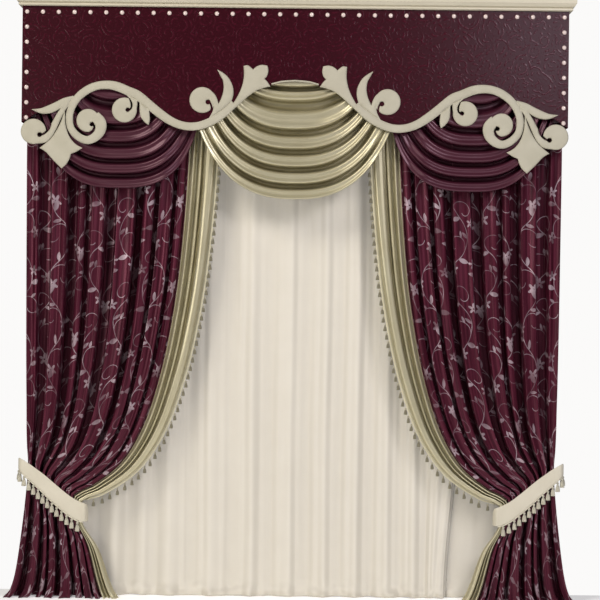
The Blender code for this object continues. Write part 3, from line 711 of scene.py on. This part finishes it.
def outline_of(shapes, cuts):
    """Directed rim edges, as pairs of points, of all the shapes run together less the cuts."""
    points, faces = [], []
    for outline in shapes + cuts:
        turned = outline if area_of(outline) > 0 else outline[::-1]
        faces.append(list(range(len(points), len(points) + len(turned))))
        points.extend(Vector(p) for p in turned)
    verts, _, triangles, _, _, owners = delaunay_2d_cdt(points, [], faces, 1, 1e-5, True)
    used = set()
    for (a, b, c), owner in zip(triangles, owners):
        if owner and max(owner) < len(shapes):
            used.update(((a, b), (b, c), (c, a)))
    rim = [(a, b) for a, b in used if (b, a) not in used]
    return np.array([verts[a][:] for a, _ in rim]), np.array([verts[b][:] for _, b in rim])


def distances(points, starts, ends):
    """Each point's distance to the nearest of the line pieces."""
    along = ends - starts
    square = np.maximum((along**2).sum(axis=1), 1e-12)
    found = np.empty(len(points))
    for i, point in enumerate(points):
        t = np.clip(((point - starts) * along).sum(axis=1) / square, 0, 1)
        found[i] = np.sqrt((((starts + along * t[:, None]) - point) ** 2).sum(axis=1).min())
    return found


def inside(points, starts, ends):
    """Which points lie within the rim, by how often a level line from each crosses it."""
    found = np.empty(len(points), bool)
    for i, (x, y) in enumerate(points):
        over = (starts[:, 1] > y) != (ends[:, 1] > y)
        a, b = starts[over], ends[over]
        at_line = a[:, 0] + (y - a[:, 1]) / (b[:, 1] - a[:, 1]) * (b[:, 0] - a[:, 0])
        found[i] = (at_line > x).sum() % 2
    return found


def groove_lines():
    """Lines where one part of the scroll passes over another."""
    lines = []
    for name, way, first, last in SCROLL_GROOVES:
        stroke = metres(SCROLL_STROKES[name])
        places = np.linspace(first, last, round((last - first) * 10) + 1)
        line = []
        for place in places:
            x, y, width = curve_at(stroke, place)
            ahead = curve_at(stroke, place + 0.05) - curve_at(stroke, place - 0.05)
            normal = np.array((-ahead[1], ahead[0])) / math.hypot(ahead[0], ahead[1])
            line.append(np.array((x, y)) + way * normal * width / 2)
        lines.append(np.array(line))
    return lines


def scroll_points(starts, ends, grooves):
    """Points just inside the rim and along the grooves, which carry their shape, and a few on the flat."""
    along = ends - starts
    length = np.maximum(np.linalg.norm(along, axis=1), 1e-9)[:, None]
    inward = np.stack([-along[:, 1], along[:, 0]], axis=1) / length
    found = []
    for inset in RIM_INSETS:
        row = (starts + ends) / 2 + inward * inset
        found.append(row[distances(row, starts, ends) > inset * 0.93])
    for line in grooves:
        step = np.gradient(line, axis=0)
        side = np.stack([-step[:, 1], step[:, 0]], axis=1) / np.linalg.norm(step, axis=1)[:, None]
        for offset in GROOVE_SIDES:
            row = line + side * offset
            found.append(row[distances(row, starts, ends) > 0.0015])
    low, high = starts.min(axis=0), starts.max(axis=0)
    across, down = (np.arange(low[i], high[i], FLAT_PITCH) for i in (0, 1))
    grid = np.array([(x, y) for x in across for y in down])
    found.append(grid[distances(grid, starts, ends) > FLAT_INSET])
    points = np.concatenate(found)
    return points[inside(points, starts, ends)]


def scroll(name, side, finish):
    """The cut-out ornament, its covered edges rounded over and its parts set off by grooves."""
    shapes = [disc(*row) for row in metres(SCROLL_DISCS)]
    shapes += [leaf(metres(runs)) for runs in SCROLL_LEAVES.values()]
    for stroke in SCROLL_STROKES.values():
        shapes += ribbon(metres(stroke))
    cuts = [disc(*row) for row in metres(SCROLL_EYES)]
    for slit in SCROLL_CUTS.values():
        cuts += ribbon(metres(slit))
    starts, ends = outline_of(shapes, cuts)
    grooves = groove_lines()
    count = len(starts)
    points = np.concatenate([starts, ends, scroll_points(starts, ends, grooves)])
    edges = [(i, count + i) for i in range(count)]
    verts, edges, triangles, *_ = delaunay_2d_cdt([Vector(p) for p in points], edges, [], 0, 1e-5, True)
    flat = np.array([v[:] for v in verts])
    centres = np.array([(flat[a] + flat[b] + flat[c]) / 3 for a, b, c in triangles])
    kept = [t for t, within_rim in zip(triangles, inside(centres, starts, ends)) if within_rim]
    inset = distances(flat, starts, ends)
    groove_starts = np.concatenate([line[:-1] for line in grooves])
    groove_ends = np.concatenate([line[1:] for line in grooves])
    dip = GROOVE_DEPTH * np.exp(-((distances(flat, groove_starts, groove_ends) / GROOVE_WIDTH) ** 2))
    bm = bmesh.new()
    front, back = {}, {}
    for i in sorted({i for triangle in kept for i in triangle}):
        rise = (1 - math.exp(-((inset[i] / SCROLL_ROUNDING) ** 1.2))) * (1 - dip[i])
        rise += ROLL_HEIGHT * math.exp(-(((inset[i] - ROLL_INSET) / ROLL_WIDTH) ** 2))
        face = PELMET_FACE + GAP + SCROLL_RIM + (SCROLL_THICK - SCROLL_RIM) * rise
        front[i] = bm.verts.new((side * flat[i][0], -face, height(flat[i][1])))
        back[i] = bm.verts.new((side * flat[i][0], -PELMET_FACE - GAP, height(flat[i][1])))
    used = set()
    for a, b, c in kept:
        bm.faces.new((front[a], front[b], front[c]))
        bm.faces.new((back[c], back[b], back[a]))
        used.update(((a, b), (b, c), (c, a)))
    for a, b in used:
        if (b, a) not in used:
            bm.faces.new((front[a], back[a], back[b], front[b]))
    bmesh.ops.recalc_face_normals(bm, faces=bm.faces)
    obj = piece(f"{name}_padded", bm, finish)
    obj.data.set_sharp_from_angle(angle=math.radians(50))
    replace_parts(obj, name)


# Tiebacks and fringes


def tieback_grid(side):
    """The band from the wall round the drape's front and back to the wall."""
    plan = spline(TIE_PLAN, 3)
    grid = []
    for part in np.linspace(0.0, 1.0, TIE_ROWS + 1):
        line = []
        for across, from_wall in plan:
            upper = at(TIE_UPPER, across) + TIE_FALL * smoothstep(TIE_Y - from_wall, 0.004, 0.05)
            drop = upper * (1 - part) + at(TIE_LOWER, across) * part
            line.append((side * across, -from_wall, height(drop)))
        grid.append(line)
    return grid


def tassel(bm, layer, top, radius, length, twist, lean):
    """One tassel: a knot over a skirt of yarns, hung from its top."""
    rings = []
    for part, share in TASSEL_PROFILE:
        ring = []
        for k in range(TASSEL_SIDES):
            turn = 2 * math.pi * k / TASSEL_SIDES + twist
            frill = 1.0 + (0.10 if part > 0.3 and k % 2 else 0.0)
            out = radius * share * frill
            ring.append(bm.verts.new((
                top[0] + lean[0] * part + out * math.cos(turn),
                top[1] + lean[1] * part + out * math.sin(turn),
                top[2] - length * part,
            )))
        rings.append(ring)
    for i, (ring, below) in enumerate(zip(rings, rings[1:])):
        for k in range(TASSEL_SIDES):
            j = (k + 1) % TASSEL_SIDES
            face = bm.faces.new((ring[k], below[k], below[j], ring[j]))
            for loop, (u, v) in zip(face.loops, ((k, i), (k, i + 1), (k + 1, i + 1), (k + 1, i))):
                loop[layer].uv = (u / TASSEL_SIDES, -TASSEL_PROFILE[v][0] * length)
    bm.faces.new(rings[0])
    bm.faces.new(reversed(rings[-1]))


def fringe(name, line, outward, strip_width, pitch, size, finish, drop_root):
    """A braid along the line, and tassels that hang from its free edge."""
    radius, length = size
    bm = bmesh.new()
    layer = bm.loops.layers.uv.new("cloth")
    half = np.array((0.0, STRIP_THICK / 2, 0.0))
    sections = []
    for i, point in enumerate(line):
        ahead = line[min(i + 1, len(line) - 1)] - line[max(i - 1, 0)]
        out = outward(ahead / np.linalg.norm(ahead)) * strip_width
        corners = (point + half, point - half, point + out - half, point + out + half)
        sections.append([bm.verts.new(corner) for corner in corners])
    gone = 0.0
    for i, (ring, after) in enumerate(zip(sections, sections[1:])):
        step = np.linalg.norm(line[i + 1] - line[i])
        for k in range(4):
            j = (k + 1) % 4
            face = bm.faces.new((ring[k], ring[j], after[j], after[k]))
            spots = ((k, gone), (k + 1, gone), (k + 1, gone + step), (k, gone + step))
            for loop, (u, v) in zip(face.loops, spots):
                loop[layer].uv = (0.5 + u * 0.02, v)
        gone += step
    bm.faces.new(sections[0])
    bm.faces.new(reversed(sections[-1]))
    wanted, gone, count = pitch / 2, 0.0, 0
    for start, end in zip(line, line[1:]):
        step = np.linalg.norm(end - start)
        while wanted <= gone + step:
            ahead = (end - start) / step
            root = start + ahead * (wanted - gone) + outward(ahead) * (strip_width + drop_root[0])
            root = root + np.array((0.0, drop_root[1], 0.0))
            swing = noise.noise(Vector((count * 1.7, 0.3, 5.0)))
            tassel(bm, layer, root, radius, length, count * 0.9, (0.002 * swing, -0.001))
            wanted += pitch
            count += 1
        gone += step
    bmesh.ops.recalc_face_normals(bm, faces=bm.faces)
    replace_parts(piece(f"{name}_tassels", bm, finish), name)


def edge_fringe(name, side, finish):
    """The fringe on the band's free edge."""
    line = []
    fold = (EDGE_FORWARD, 0.5, 0.0, 0.0)
    for row in np.arange(0.0, TIE_ROW + 0.01, 0.1):
        across, y, drop = drape_place(1.0, row, fold, True)
        if EDGE_FRINGE_FROM <= drop <= EDGE_FRINGE_TO:
            line.append(np.array((side * (across - 2 * GAP), -y, height(drop) - 2 * GAP)))

    def outward(ahead):
        out = np.array((side * ahead[2], 0.0, -side * ahead[0]))
        return out / np.linalg.norm(out)

    measures = (EDGE_STRIP_WIDTH, EDGE_TASSEL_PITCH, EDGE_TASSEL)
    fringe(f"edge_fringe_{name}", line, outward, *measures, finish, (0.004, 0.0))


def tie_fringe(name, side, finish):
    """The fringe under the tieback's front, and round its outer end."""
    plan = [*TIE_RETURN, *((across, TIE_Y) for across in np.arange(1.214, 0.9395, -0.0137))]
    line = []
    for across, from_wall in plan:
        drop = at(TIE_LOWER, across) + 2 * GAP
        line.append(np.array((side * across, -from_wall, height(drop))))

    def outward(ahead):
        return np.array((0.0, 0.0, -1.0))

    measures = (TIE_STRIP_WIDTH, TIE_TASSEL_PITCH, TIE_TASSEL)
    fringe(f"tie_fringe_{name}", line, outward, *measures, finish, (-0.001, -0.005))


# Voile


def voile_grid():
    """The sheer curtain: soft uneven folds that wander a little and break on the floor."""
    columns = np.linspace(-VOILE_HALF_WIDTH, VOILE_HALF_WIDTH, VOILE_COLUMNS + 1)
    columns = np.sort(np.append(columns, np.linspace(*VOILE_FREE_EDGE, 9)))
    places = [row[0] for row in VOILE_FOLDS]
    forwards = []
    for x in columns:
        i = min(max(int(np.searchsorted(places, x)) - 1, 0), len(places) - 2)
        part = (x - places[i]) / (places[i + 1] - places[i])
        low, high = VOILE_FOLDS[i][1], VOILE_FOLDS[i + 1][1]
        forwards.append(low + (high - low) * smoothstep(part, 0.0, 1.0))
    grid = []
    low_end = FLOOR_DROP - 0.001
    hanging = np.linspace(HEADING_DROP, VOILE_BREAK, 61)
    for drop in [*hanging[:-1], *np.linspace(VOILE_BREAK, low_end, 17)]:
        spread = 0.7 + 0.3 * drop / low_end
        broken = smoothstep(drop, VOILE_BREAK + 0.04, low_end)
        line = []
        for x, forward in zip(columns, forwards):
            edge = smoothstep(x, 0.60, 0.75) * (1 - smoothstep(x, 0.76, 0.95))
            sway = VOILE_SWAY * noise.noise(Vector((x * 2.1, drop * 0.9, 4.0))) * smoothstep(drop, 0.3, 1.2)
            across = x + sway * (1 - abs(x)) - 0.046 * edge * smoothstep(drop, 1.9, low_end)
            y = VOILE_Y + VOILE_DEPTH * 2 * spread * (forward - 0.5)
            y += VOILE_CREASE * noise.noise(Vector((x * 31, drop * 1.3, 2.0)))
            y += broken * (0.010 + VOILE_CRUMPLE * noise.noise(Vector((x * 17, drop * 22, 8.0))))
            rise = 0.006 * broken * max(noise.noise(Vector((x * 12, 0.0, 6.0))), 0.0)
            line.append((across, -max(y, 0.002), height(drop) + rise))
        grid.append(line)
    return grid


# Studs


def studs(finish):
    """Half-round pearl studs, pressed into the pelmet's face."""
    places = []
    reach = PELMET_HALF_WIDTH - STUD_INSET
    for i in range(STUD_TOP_COUNT):
        places.append((-reach + 2 * reach * i / (STUD_TOP_COUNT - 1), STUD_TOP_DROP))
    for i in range(1, STUD_SIDE_COUNT + 1):
        for side in (LEFT, RIGHT):
            places.append((side * reach, STUD_TOP_DROP + STUD_SIDE_PITCH * i))
    bpy.ops.object.select_all(action="DESELECT")
    bpy.ops.mesh.primitive_uv_sphere_add(segments=16, ring_count=10, radius=STUD_RADIUS)
    first = bpy.context.object
    bpy.ops.object.mode_set(mode="EDIT")
    bpy.ops.mesh.select_all(action="SELECT")
    bpy.ops.mesh.bisect(plane_co=(0, 0.0005, 0), plane_no=(0, 1, 0), use_fill=True, clear_outer=True)
    bpy.ops.mesh.select_all(action="SELECT")
    bpy.ops.transform.resize(value=(1.0, STUD_HEIGHT, 1.0))
    bpy.ops.object.mode_set(mode="OBJECT")
    bm = bmesh.new()
    for x, drop in places:
        start = len(bm.verts)
        bm.from_mesh(first.data)
        bm.verts.ensure_lookup_table()
        bmesh.ops.translate(bm, verts=bm.verts[start:], vec=(x, -PELMET_FACE - 0.0006, height(drop)))
    bpy.data.objects.remove(first)
    piece("pearl_studs", bm, finish).data.set_sharp_from_angle(angle=math.radians(60))


# Materials


def surface(tree, shader, factor, shades, relief=None, depth=0.0, strength=1.0):
    """Blends two shades over the surface by a factor, and raises a relief on it by a depth.

    A shade is a hex colour, or the output of a node that makes it.
    """
    first, second = (linear(shade) if isinstance(shade, str) else shade for shade in shades)
    blend = add(tree, "Mix", factor, data_type="RGBA", A=first, B=second)
    tree.links.new(blend, shader.inputs["Base Color"])
    if relief is not None:
        normal = add(tree, "Bump", Strength=strength, Distance=depth, Height=relief)
        tree.links.new(normal, shader.inputs["Normal"])


def slant(tree):
    """How far the surface turns away from the room, from 0 where it faces straight into it."""
    normal = add(tree, "TexCoord").node.outputs["Normal"]
    parts = add(tree, "SeparateXYZ", normal).node.outputs
    return add(tree, "Math SUBTRACT", 1.0, add(tree, "Math ABSOLUTE", parts[1]))


def cream_paint():
    """Satin alkyd paint over wood: soft gloss, faint brush drag along the length."""
    material, tree, shader = start_material("cream_satin_paint", "#e2dfbe", 0.38)
    coords = add(tree, "TexCoord").node.outputs["Object"]
    drag = add(tree, "Mapping", coords, Scale=(6.0, 180.0, 180.0))
    streaks = add(tree, "TexNoise", drag, Scale=1.0, Detail=4.0)
    surface(tree, shader, streaks, ("#bab39b", "#ccc5b0"), streaks, 0.4 * MM)
    return material


def sawn_pine():
    """Plain sawn pine: matt, with long grain."""
    material, tree, shader = start_material("sawn_pine", "#c8a878", 0.75)
    coords = add(tree, "TexCoord").node.outputs["Object"]
    stretched = add(tree, "Mapping", coords, Scale=(1.2, 40.0, 40.0))
    grain = add(tree, "TexNoise", stretched, Scale=2.0, Detail=5.0, Distortion=0.6)
    surface(tree, shader, grain, ("#b08a58", "#dcc295"), grain, 0.3 * MM)
    return material


def satin_face(tree, shader, coords, factor, shades):
    """Satin's shades and threads. The real threads are 0.1 mm: they are drawn at 1.5 mm so that they show."""
    scale = 1 / (1.5 * MM) / WAVE_BANDS
    threads = add(tree, "TexWave", coords, Scale=scale, bands_direction="Y", Distortion=1.0)
    surface(tree, shader, factor, shades, threads, 0.08 * MM, 0.5)


def satin(name, dark, light, roughness, metallic):
    """Polyester satin: long floats that catch a broad gloss, shaded unevenly where the folds pull."""
    material, tree, shader = start_material(name, light, roughness, Metallic=metallic)
    coords = add(tree, "UVMap", uv_map="cloth")
    soft = add(tree, "TexNoise", coords, Scale=7.0, Detail=3.0)
    satin_face(tree, shader, coords, soft, (dark, light))
    return material


def shift(tree, coords, across, up):
    """Coordinates of the vine's repeat, from a point of it. Each column sits lower than the one before."""
    width, tall = VINE_TILE
    moved = add(tree, "VectorMath SUBTRACT", coords, (across, up, 0.0))
    half = add(tree, "VectorMath ADD", moved, (width / 2, 0.0, 0.0))
    column = add(tree, "Math SNAP", add(tree, "SeparateXYZ", half), width)
    lower = add(tree, "Math MULTIPLY", column, VINE_COLUMN_DROP / width)
    nearest = add(tree, "VectorMath SUBTRACT", moved, add(tree, "CombineXYZ", column, lower))
    reach = (width, tall / 2, 1.0)
    return add(tree, "VectorMath WRAP", nearest, reach, [-r for r in reach])


def stem_marks(tree, coords, across, up, heading, half_width, arcs):
    """Thin arcs, each starting in the direction in which the last one ended."""
    marks = []
    turned = math.radians(heading)
    for radius, sweep in arcs:
        turn, way = math.radians(sweep), math.copysign(1, sweep)
        centre = (across - way * radius * math.sin(turned), up + way * radius * math.cos(turned))
        middle = turned - way * math.pi / 2 + turn / 2
        spot = shift(tree, coords, *centre)
        length = add(tree, "VectorMath LENGTH", spot)
        along = add(tree, "VectorMath DOT_PRODUCT", spot, (math.cos(middle), math.sin(middle), 0.0))
        cosine = add(tree, "Math DIVIDE", along, length)
        low = math.cos(abs(turn) / 2)
        span = add(tree, "MapRange", cosine, From_Min=low, From_Max=low + 0.01)
        away = add(tree, "Math ABSOLUTE", add(tree, "Math SUBTRACT", length, radius))
        line = add(tree, "MapRange", away, From_Min=half_width + FEATHER, From_Max=half_width - FEATHER)
        marks.append(add(tree, "Math MULTIPLY", span, line))
        turned += turn
        across = centre[0] + way * radius * math.sin(turned)
        up = centre[1] - way * radius * math.cos(turned)
    return marks


def leaf_mark(tree, coords, across, up, heading, length, breadth):
    """A leaf between two arcs, from point to point."""
    turn = math.radians(heading)
    middle = (across + math.cos(turn) * length / 2, up + math.sin(turn) * length / 2)
    a, b = length / 2, breadth / 2
    radius = (a * a + b * b) / (2 * b)
    laid = add(tree, "VectorRotate", shift(tree, coords, *middle), rotation_type="Z_AXIS", Angle=-turn)
    reach = add(tree, "VectorMath DISTANCE", add(tree, "VectorMath ABSOLUTE", laid), (0.0, b - radius, 0.0))
    return add(tree, "MapRange", reach, From_Min=radius + FEATHER, From_Max=radius - FEATHER)


def flower_mark(tree, coords, across, up, radius, heading):
    """Petals round a bare centre."""
    spot = shift(tree, coords, across, up)
    parts = add(tree, "SeparateXYZ", spot).node.outputs
    turn = add(tree, "Math ARCTAN2", parts[1], parts[0])
    petal = add(tree, "Math MULTIPLY_ADD", turn, VINE_PETALS, -VINE_PETALS * math.radians(heading))
    edge = add(tree, "Math MULTIPLY_ADD", add(tree, "Math COSINE", petal), 0.33 * radius, 0.67 * radius)
    length = add(tree, "VectorMath LENGTH", spot)
    over = add(tree, "Math SUBTRACT", length, edge)
    petals = add(tree, "MapRange", over, From_Min=FEATHER, From_Max=-FEATHER)
    eye = 0.14 * radius
    bare = add(tree, "MapRange", length, From_Min=eye + FEATHER, From_Max=eye - FEATHER)
    return add(tree, "Math SUBTRACT", petals, bare)


def vine_satin():
    """Satin with a woven vine: a wine ground with painted light and shade in streaks along the warp, for fine
    folds, and a silvery weft that shows as stems, leaves and flowers."""
    gloss = {"Metallic": 0.25, "Specular_IOR_Level": 0.18}
    material, tree, shader = start_material("vine_jacquard_satin", "#4c1528", 0.32, **gloss)
    coords = add(tree, "UVMap", uv_map="cloth")
    wander = add(tree, "TexNoise", coords, Scale=3.6, Detail=1.0).node.outputs["Color"]
    centred = add(tree, "VectorMath SUBTRACT", wander, (0.5, 0.5, 0.5))
    scaled = add(tree, "VectorMath MULTIPLY", centred, (VINE_WARP * 2, VINE_WARP * 2, 0.0))
    warped = add(tree, "VectorMath SCALE", add(tree, "VectorMath ADD", coords, scaled), Scale=VINE_FINENESS)
    marks = []
    for row in VINE_STEMS:
        marks += stem_marks(tree, warped, *row)
    marks += [leaf_mark(tree, warped, *row) for row in VINE_LEAVES]
    marks += [flower_mark(tree, warped, *row) for row in VINE_FLOWERS]
    motif = marks[0]
    for mark in marks[1:]:
        motif = add(tree, "Math MAXIMUM", motif, mark)
    # Painted light and shade: lighter and darker streaks down the cloth stand in for its fine folds.
    along = add(tree, "Mapping", coords, Scale=(70.0, 2.2, 1.0))
    streaks = add(tree, "TexNoise", along, Scale=1.0, Detail=3.0)
    painted_fold_streaks = add(tree, "MapRange", streaks, From_Min=0.34, From_Max=0.66)
    ground = add(tree, "Mix", painted_fold_streaks, data_type="RGBA", A=linear("#370d1b"), B=linear("#5a2233"))
    patchy = add(tree, "TexNoise", coords, Scale=9.0, Detail=2.0)
    shown = add(tree, "MapRange", patchy, From_Min=0.40, From_Max=0.62, To_Min=0.25)
    woven = add(tree, "Math MULTIPLY", motif, shown)
    satin_face(tree, shader, coords, woven, (ground, "#a6939a"))
    return material


def plain_cloth(name, dark, light, roughness, thread):
    """Plain woven cloth, its threads drawn at the given pitch so that they show."""
    material, tree, shader = start_material(name, light, roughness, Sheen_Weight=0.15)
    coords = add(tree, "UVMap", uv_map="cloth")
    soft = add(tree, "TexNoise", coords, Scale=9.0, Detail=4.0)
    scale = 1 / thread / WAVE_BANDS
    warp, weft = (add(tree, "TexWave", coords, Scale=scale, bands_direction=way) for way in "XY")
    weave = add(tree, "Math MAXIMUM", warp, weft)
    surface(tree, shader, soft, (dark, light), weave, 0.2 * MM, 0.5)
    return material


def voile_weave():
    """Sheer voile: some light passes, with painted shade where a fold turns away and where it lies deep."""
    material = plain_cloth("voile_weave", "#e6dfcf", "#eee8d9", 0.85, 3 * MM)
    tree = material.node_tree
    shader = tree.nodes["Principled BSDF"]
    shader.inputs["Alpha"].default_value = VOILE_COVER
    # Painted shade: the colour darkens on fold flanks that turn away from the room, and where the cloth lies
    # deep towards the wall.
    turned = add(tree, "MapRange", slant(tree), From_Max=0.16, To_Max=0.60)
    forward = add(tree, "SeparateXYZ", add(tree, "TexCoord").node.outputs["Object"]).node.outputs[1]
    wall, room = -VOILE_Y + 8 * MM, -VOILE_Y - 8 * MM
    deep = add(tree, "MapRange", forward, From_Min=room, From_Max=wall, To_Max=0.22)
    painted_fold_shade = add(tree, "Math MAXIMUM", turned, deep)
    cloth = shader.inputs["Base Color"].links[0].from_socket
    # cbc3b1 is the colour of the painted shade in the folds.
    surface(tree, shader, painted_fold_shade, (cloth, "#cbc3b1"))
    return material


def padded_ornament():
    """Matt cream-gold cloth drawn tight over board."""
    material, tree, shader = start_material("padded_cream_cloth", "#b9b199", 0.6, Sheen_Weight=0.1)
    coords = add(tree, "TexCoord").node.outputs["Object"]
    soft = add(tree, "TexNoise", coords, Scale=16.0, Detail=5.0)
    grain = add(tree, "TexNoise", coords, Scale=1 / (3 * MM), Detail=2.0)
    surface(tree, shader, soft, ("#a7a28d", "#bbb6a3"), grain, 0.25 * MM, 0.6)
    return material


def embossed_cloth():
    """Burgundy cloth pressed with close curls some 70 mm across: a low gloss, and thin rims that shine.

    The rims are also coloured a shade lighter, as a painted sheen.
    """
    material, tree, shader = start_material("embossed_burgundy", "#3b0817", 0.3, Specular_IOR_Level=0.2)
    spot = add(tree, "SeparateXYZ", add(tree, "TexCoord").node.outputs["Object"]).node.outputs
    round_corner = add(tree, "Math ADD", spot[0], spot[1])
    upright = add(tree, "CombineXYZ", round_corner, spot[2])
    wander = add(tree, "TexNoise", upright, Scale=11.0, Detail=1.0).node.outputs["Color"]
    scaled = add(tree, "VectorMath MULTIPLY", wander, (0.034, 0.034, 0.0))
    warped = add(tree, "VectorMath ADD", upright, scaled)
    cells = add(tree, "TexVoronoi", warped, voronoi_dimensions="2D", Scale=13.5).node
    arm = add(tree, "VectorMath SUBTRACT", warped, cells.outputs["Position"])
    parts = add(tree, "SeparateXYZ", arm).node.outputs
    turn = add(tree, "Math ARCTAN2", parts[1], parts[0])
    away = add(tree, "VectorMath LENGTH", arm)
    wave = add(tree, "Math SINE", add(tree, "Math MULTIPLY_ADD", away, math.tau / CURL_PITCH, turn))
    rims = add(tree, "MapRange", wave, interpolation_type="SMOOTHSTEP", From_Min=0.10, From_Max=0.85)
    broken = add(tree, "TexNoise", upright, Scale=44.0, Detail=1.0)
    strokes = add(tree, "MapRange", broken, From_Min=0.44, From_Max=0.56)
    opened = add(tree, "MapRange", away, From_Min=7 * MM, From_Max=13 * MM)
    relief = add(tree, "Math MULTIPLY", add(tree, "Math MULTIPLY", rims, strokes), opened)
    pressed = add(tree, "MapRange", relief, To_Min=0.29, To_Max=0.22)
    tree.links.new(pressed, shader.inputs["Roughness"])
    # Painted sheen: the raised rims are coloured lighter, beside the real gloss that the roughness gives
    # them.
    surface(tree, shader, relief, ("#310511", "#410f1d"), relief, 0.30 * MM)
    return material


def yarn(name, dark, light, braid):
    """Twisted rayon yarn, matt with a little lustre: a pale braid, and skirts darker than their heads."""
    material, tree, shader = start_material(name, light, 0.62, Sheen_Weight=0.2)
    parts = add(tree, "SeparateXYZ", add(tree, "UVMap", uv_map="cloth")).node.outputs
    strands = add(tree, "Math SINE", add(tree, "Math MULTIPLY_ADD", parts[0], 160.0, parts[1]))
    tone = add(tree, "MapRange", strands, From_Min=-1.0)
    skirt = add(tree, "Mix", tone, data_type="RGBA", A=linear(dark), B=linear(light))
    upper = add(tree, "MapRange", parts[1], From_Min=-14 * MM, From_Max=-2 * MM)
    surface(tree, shader, upper, (skirt, braid), strands, 0.5 * MM)
    return material


def pearl():
    """Pearl lacquer over plastic: smooth and milky, with a pink cast and painted shade towards the rim."""
    material, tree, shader = start_material("pearl_lacquer", "#f0e2dc", 0.25, Coat_Weight=0.6)
    # Painted shade: the colour darkens to a pinkish brown as the surface turns away from the room.
    surface(tree, shader, slant(tree), ("#dccbc4", "#9c7670"))
    return material


# Light, floor and camera


def floor(material):
    bpy.ops.mesh.primitive_plane_add(size=1.0)
    plane = bpy.context.object
    plane.name = "floor"
    middle = Matrix.Translation((0.0, FLOOR_MIDDLE, height(FLOOR_DROP)))
    plane.data.transform(middle @ Matrix.Diagonal((*FLOOR_SIZE, 1.0, 1.0)))
    plane.data.materials.append(material)


def area_light(name, place, target, size, power, colour):
    data = bpy.data.lights.new(name, "AREA")
    data.shape = "RECTANGLE"
    data.size, data.size_y = size
    data.energy = power
    data.color = linear(colour)[:3]
    lamp = bpy.data.objects.new(name, data)
    lamp.location = place
    lamp.rotation_euler = (Vector(target) - Vector(place)).to_track_quat("-Z", "Y").to_euler()
    bpy.context.scene.collection.objects.link(lamp)


def lights():
    for row in LAMPS:
        area_light(*row)
    world = bpy.data.worlds.new("studio")
    bpy.context.scene.world = world
    world.use_nodes = True
    tree = world.node_tree
    background = tree.nodes["Background"]
    background.inputs["Color"].default_value = linear("#fbfaf9")
    seen = add(tree, "LightPath").node.outputs["Is Camera Ray"]
    strength = add(tree, "Math MULTIPLY_ADD", seen, 1 - WORLD_LIGHT, WORLD_LIGHT)
    tree.links.new(strength, background.inputs["Strength"])
    bpy.context.scene.view_settings.view_transform = "Standard"


def camera():
    data = bpy.data.cameras.new("camera")
    data.sensor_width = 36.0
    data.lens = 36.0 * CAMERA_DISTANCE / FRAME_WIDTH
    eye = bpy.data.objects.new("camera", data)
    place = Vector((CAMERA_ACROSS, -PELMET_FACE - CAMERA_DISTANCE, height(CAMERA_DROP)))
    turn = Matrix.Rotation(math.pi / 2, 4, "X") @ Matrix.Rotation(CAMERA_ROLL, 4, "Z")
    eye.matrix_world = Matrix.Translation(place) @ turn
    bpy.context.scene.collection.objects.link(eye)
    bpy.context.scene.camera = eye


def dress(node, material):
    """Gives a CAD node a finish."""
    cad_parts[node].data.materials.clear()
    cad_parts[node].data.materials.append(material)


def build():
    """Every piece, in the finish that it has in the photograph."""
    ornament = padded_ornament(), "ornament_cloth"
    burgundy = satin("burgundy_satin", "#3f1222", "#522534", 0.34, 0.28), "burgundy_satin"
    gold = satin("gold_satin", "#b3aa88", "#cdc7aa", 0.35, 0.55), "gold_satin"
    vine = vine_satin(), "vine_cloth"
    ivory = plain_cloth("ivory_cloth", "#c9c2ad", "#d9d3c0", 0.7, 3 * MM), "tie_cloth"
    cream_yarn = yarn("cream_yarn", "#b4ac8e", "#ece8d6", "#e2dcc6"), "fringe_yarn"
    olive_yarn = yarn("olive_yarn", "#646048", "#a49c80", "#d3ccae"), "fringe_yarn"
    dress("cornice_board", sawn_pine())
    dress("cornice_moulding", cream_paint())
    dress("pelmet_panel", embossed_cloth())
    dress("arch_piping", ornament[0])
    studs((pearl(), "ornament_cloth"))
    gathered = {"held": "gathered", "rests_on": ["cornice_board"]}
    sheer = voile_weave(), "voile_cloth"
    cloth_sheet("voile", "cloth", LEFT, voile_grid(), VOILE_THICK, sheer, flat=(2.15, 2.74), **gathered)
    joins = ((0.30, 0.386), (-0.30, -0.386))
    grid = swag_grid(LEFT, CENTRE_SWAG, SWAG_LAYER_FRONT, CENTRE_FOLD_DEPTH, joins)
    cloth_sheet("swag_centre", "cloth", LEFT, grid, SWAG_THICK, gold, flat=(1.50, 1.18), **gathered)
    joins = ((0.60, 0.51), (1.10, 1.18))
    for name, side in SIDES:
        scroll(f"scroll_{name}", side, ornament)
        grid = swag_grid(side, SIDE_SWAG, SWAG_LAYER_BACK, SIDE_FOLD_DEPTH, joins)
        cloth_sheet(f"swag_{name}", "cloth", side, grid, SWAG_THICK, burgundy, flat=(1.25, 1.06), **gathered)
        rests_on = ["cornice_board", f"tieback_{name}_band"]
        draped = {"flat": (1.70, 2.75), "held": "draped", "rests_on": rests_on}
        grid = drape_grid(side, DRAPE_FOLDS, 0.0, SEAM)
        cloth_sheet(f"drape_{name}", "cloth", side, grid, CLOTH_THICK, vine, **draped)
        sewn = {"flat": (0.29, 2.98), "held": "draped", "rests_on": [f"drape_{name}_cloth"]}
        grid = drape_grid(side, BAND_FOLDS, SEAM, 1.0)
        cloth_sheet(f"edge_band_{name}", "cloth", side, grid, CLOTH_THICK, gold, **sewn)
        edge_fringe(name, side, olive_yarn)
        tied = {"flat": (0.80, 0.072), "held": "stretched", "rests_on": [f"drape_{name}"]}
        grid = tieback_grid(side)
        cloth_sheet(f"tieback_{name}", "band", -side, grid, TIE_THICK, ivory, TIE_ROUNDING, **tied)
        tie_fringe(name, side, cream_yarn)
    pale, _, _ = start_material("pale_floor", "#fbfaf8", 0.8, Emission_Strength=0.35)
    floor(pale)
    lights()
    camera()


build()
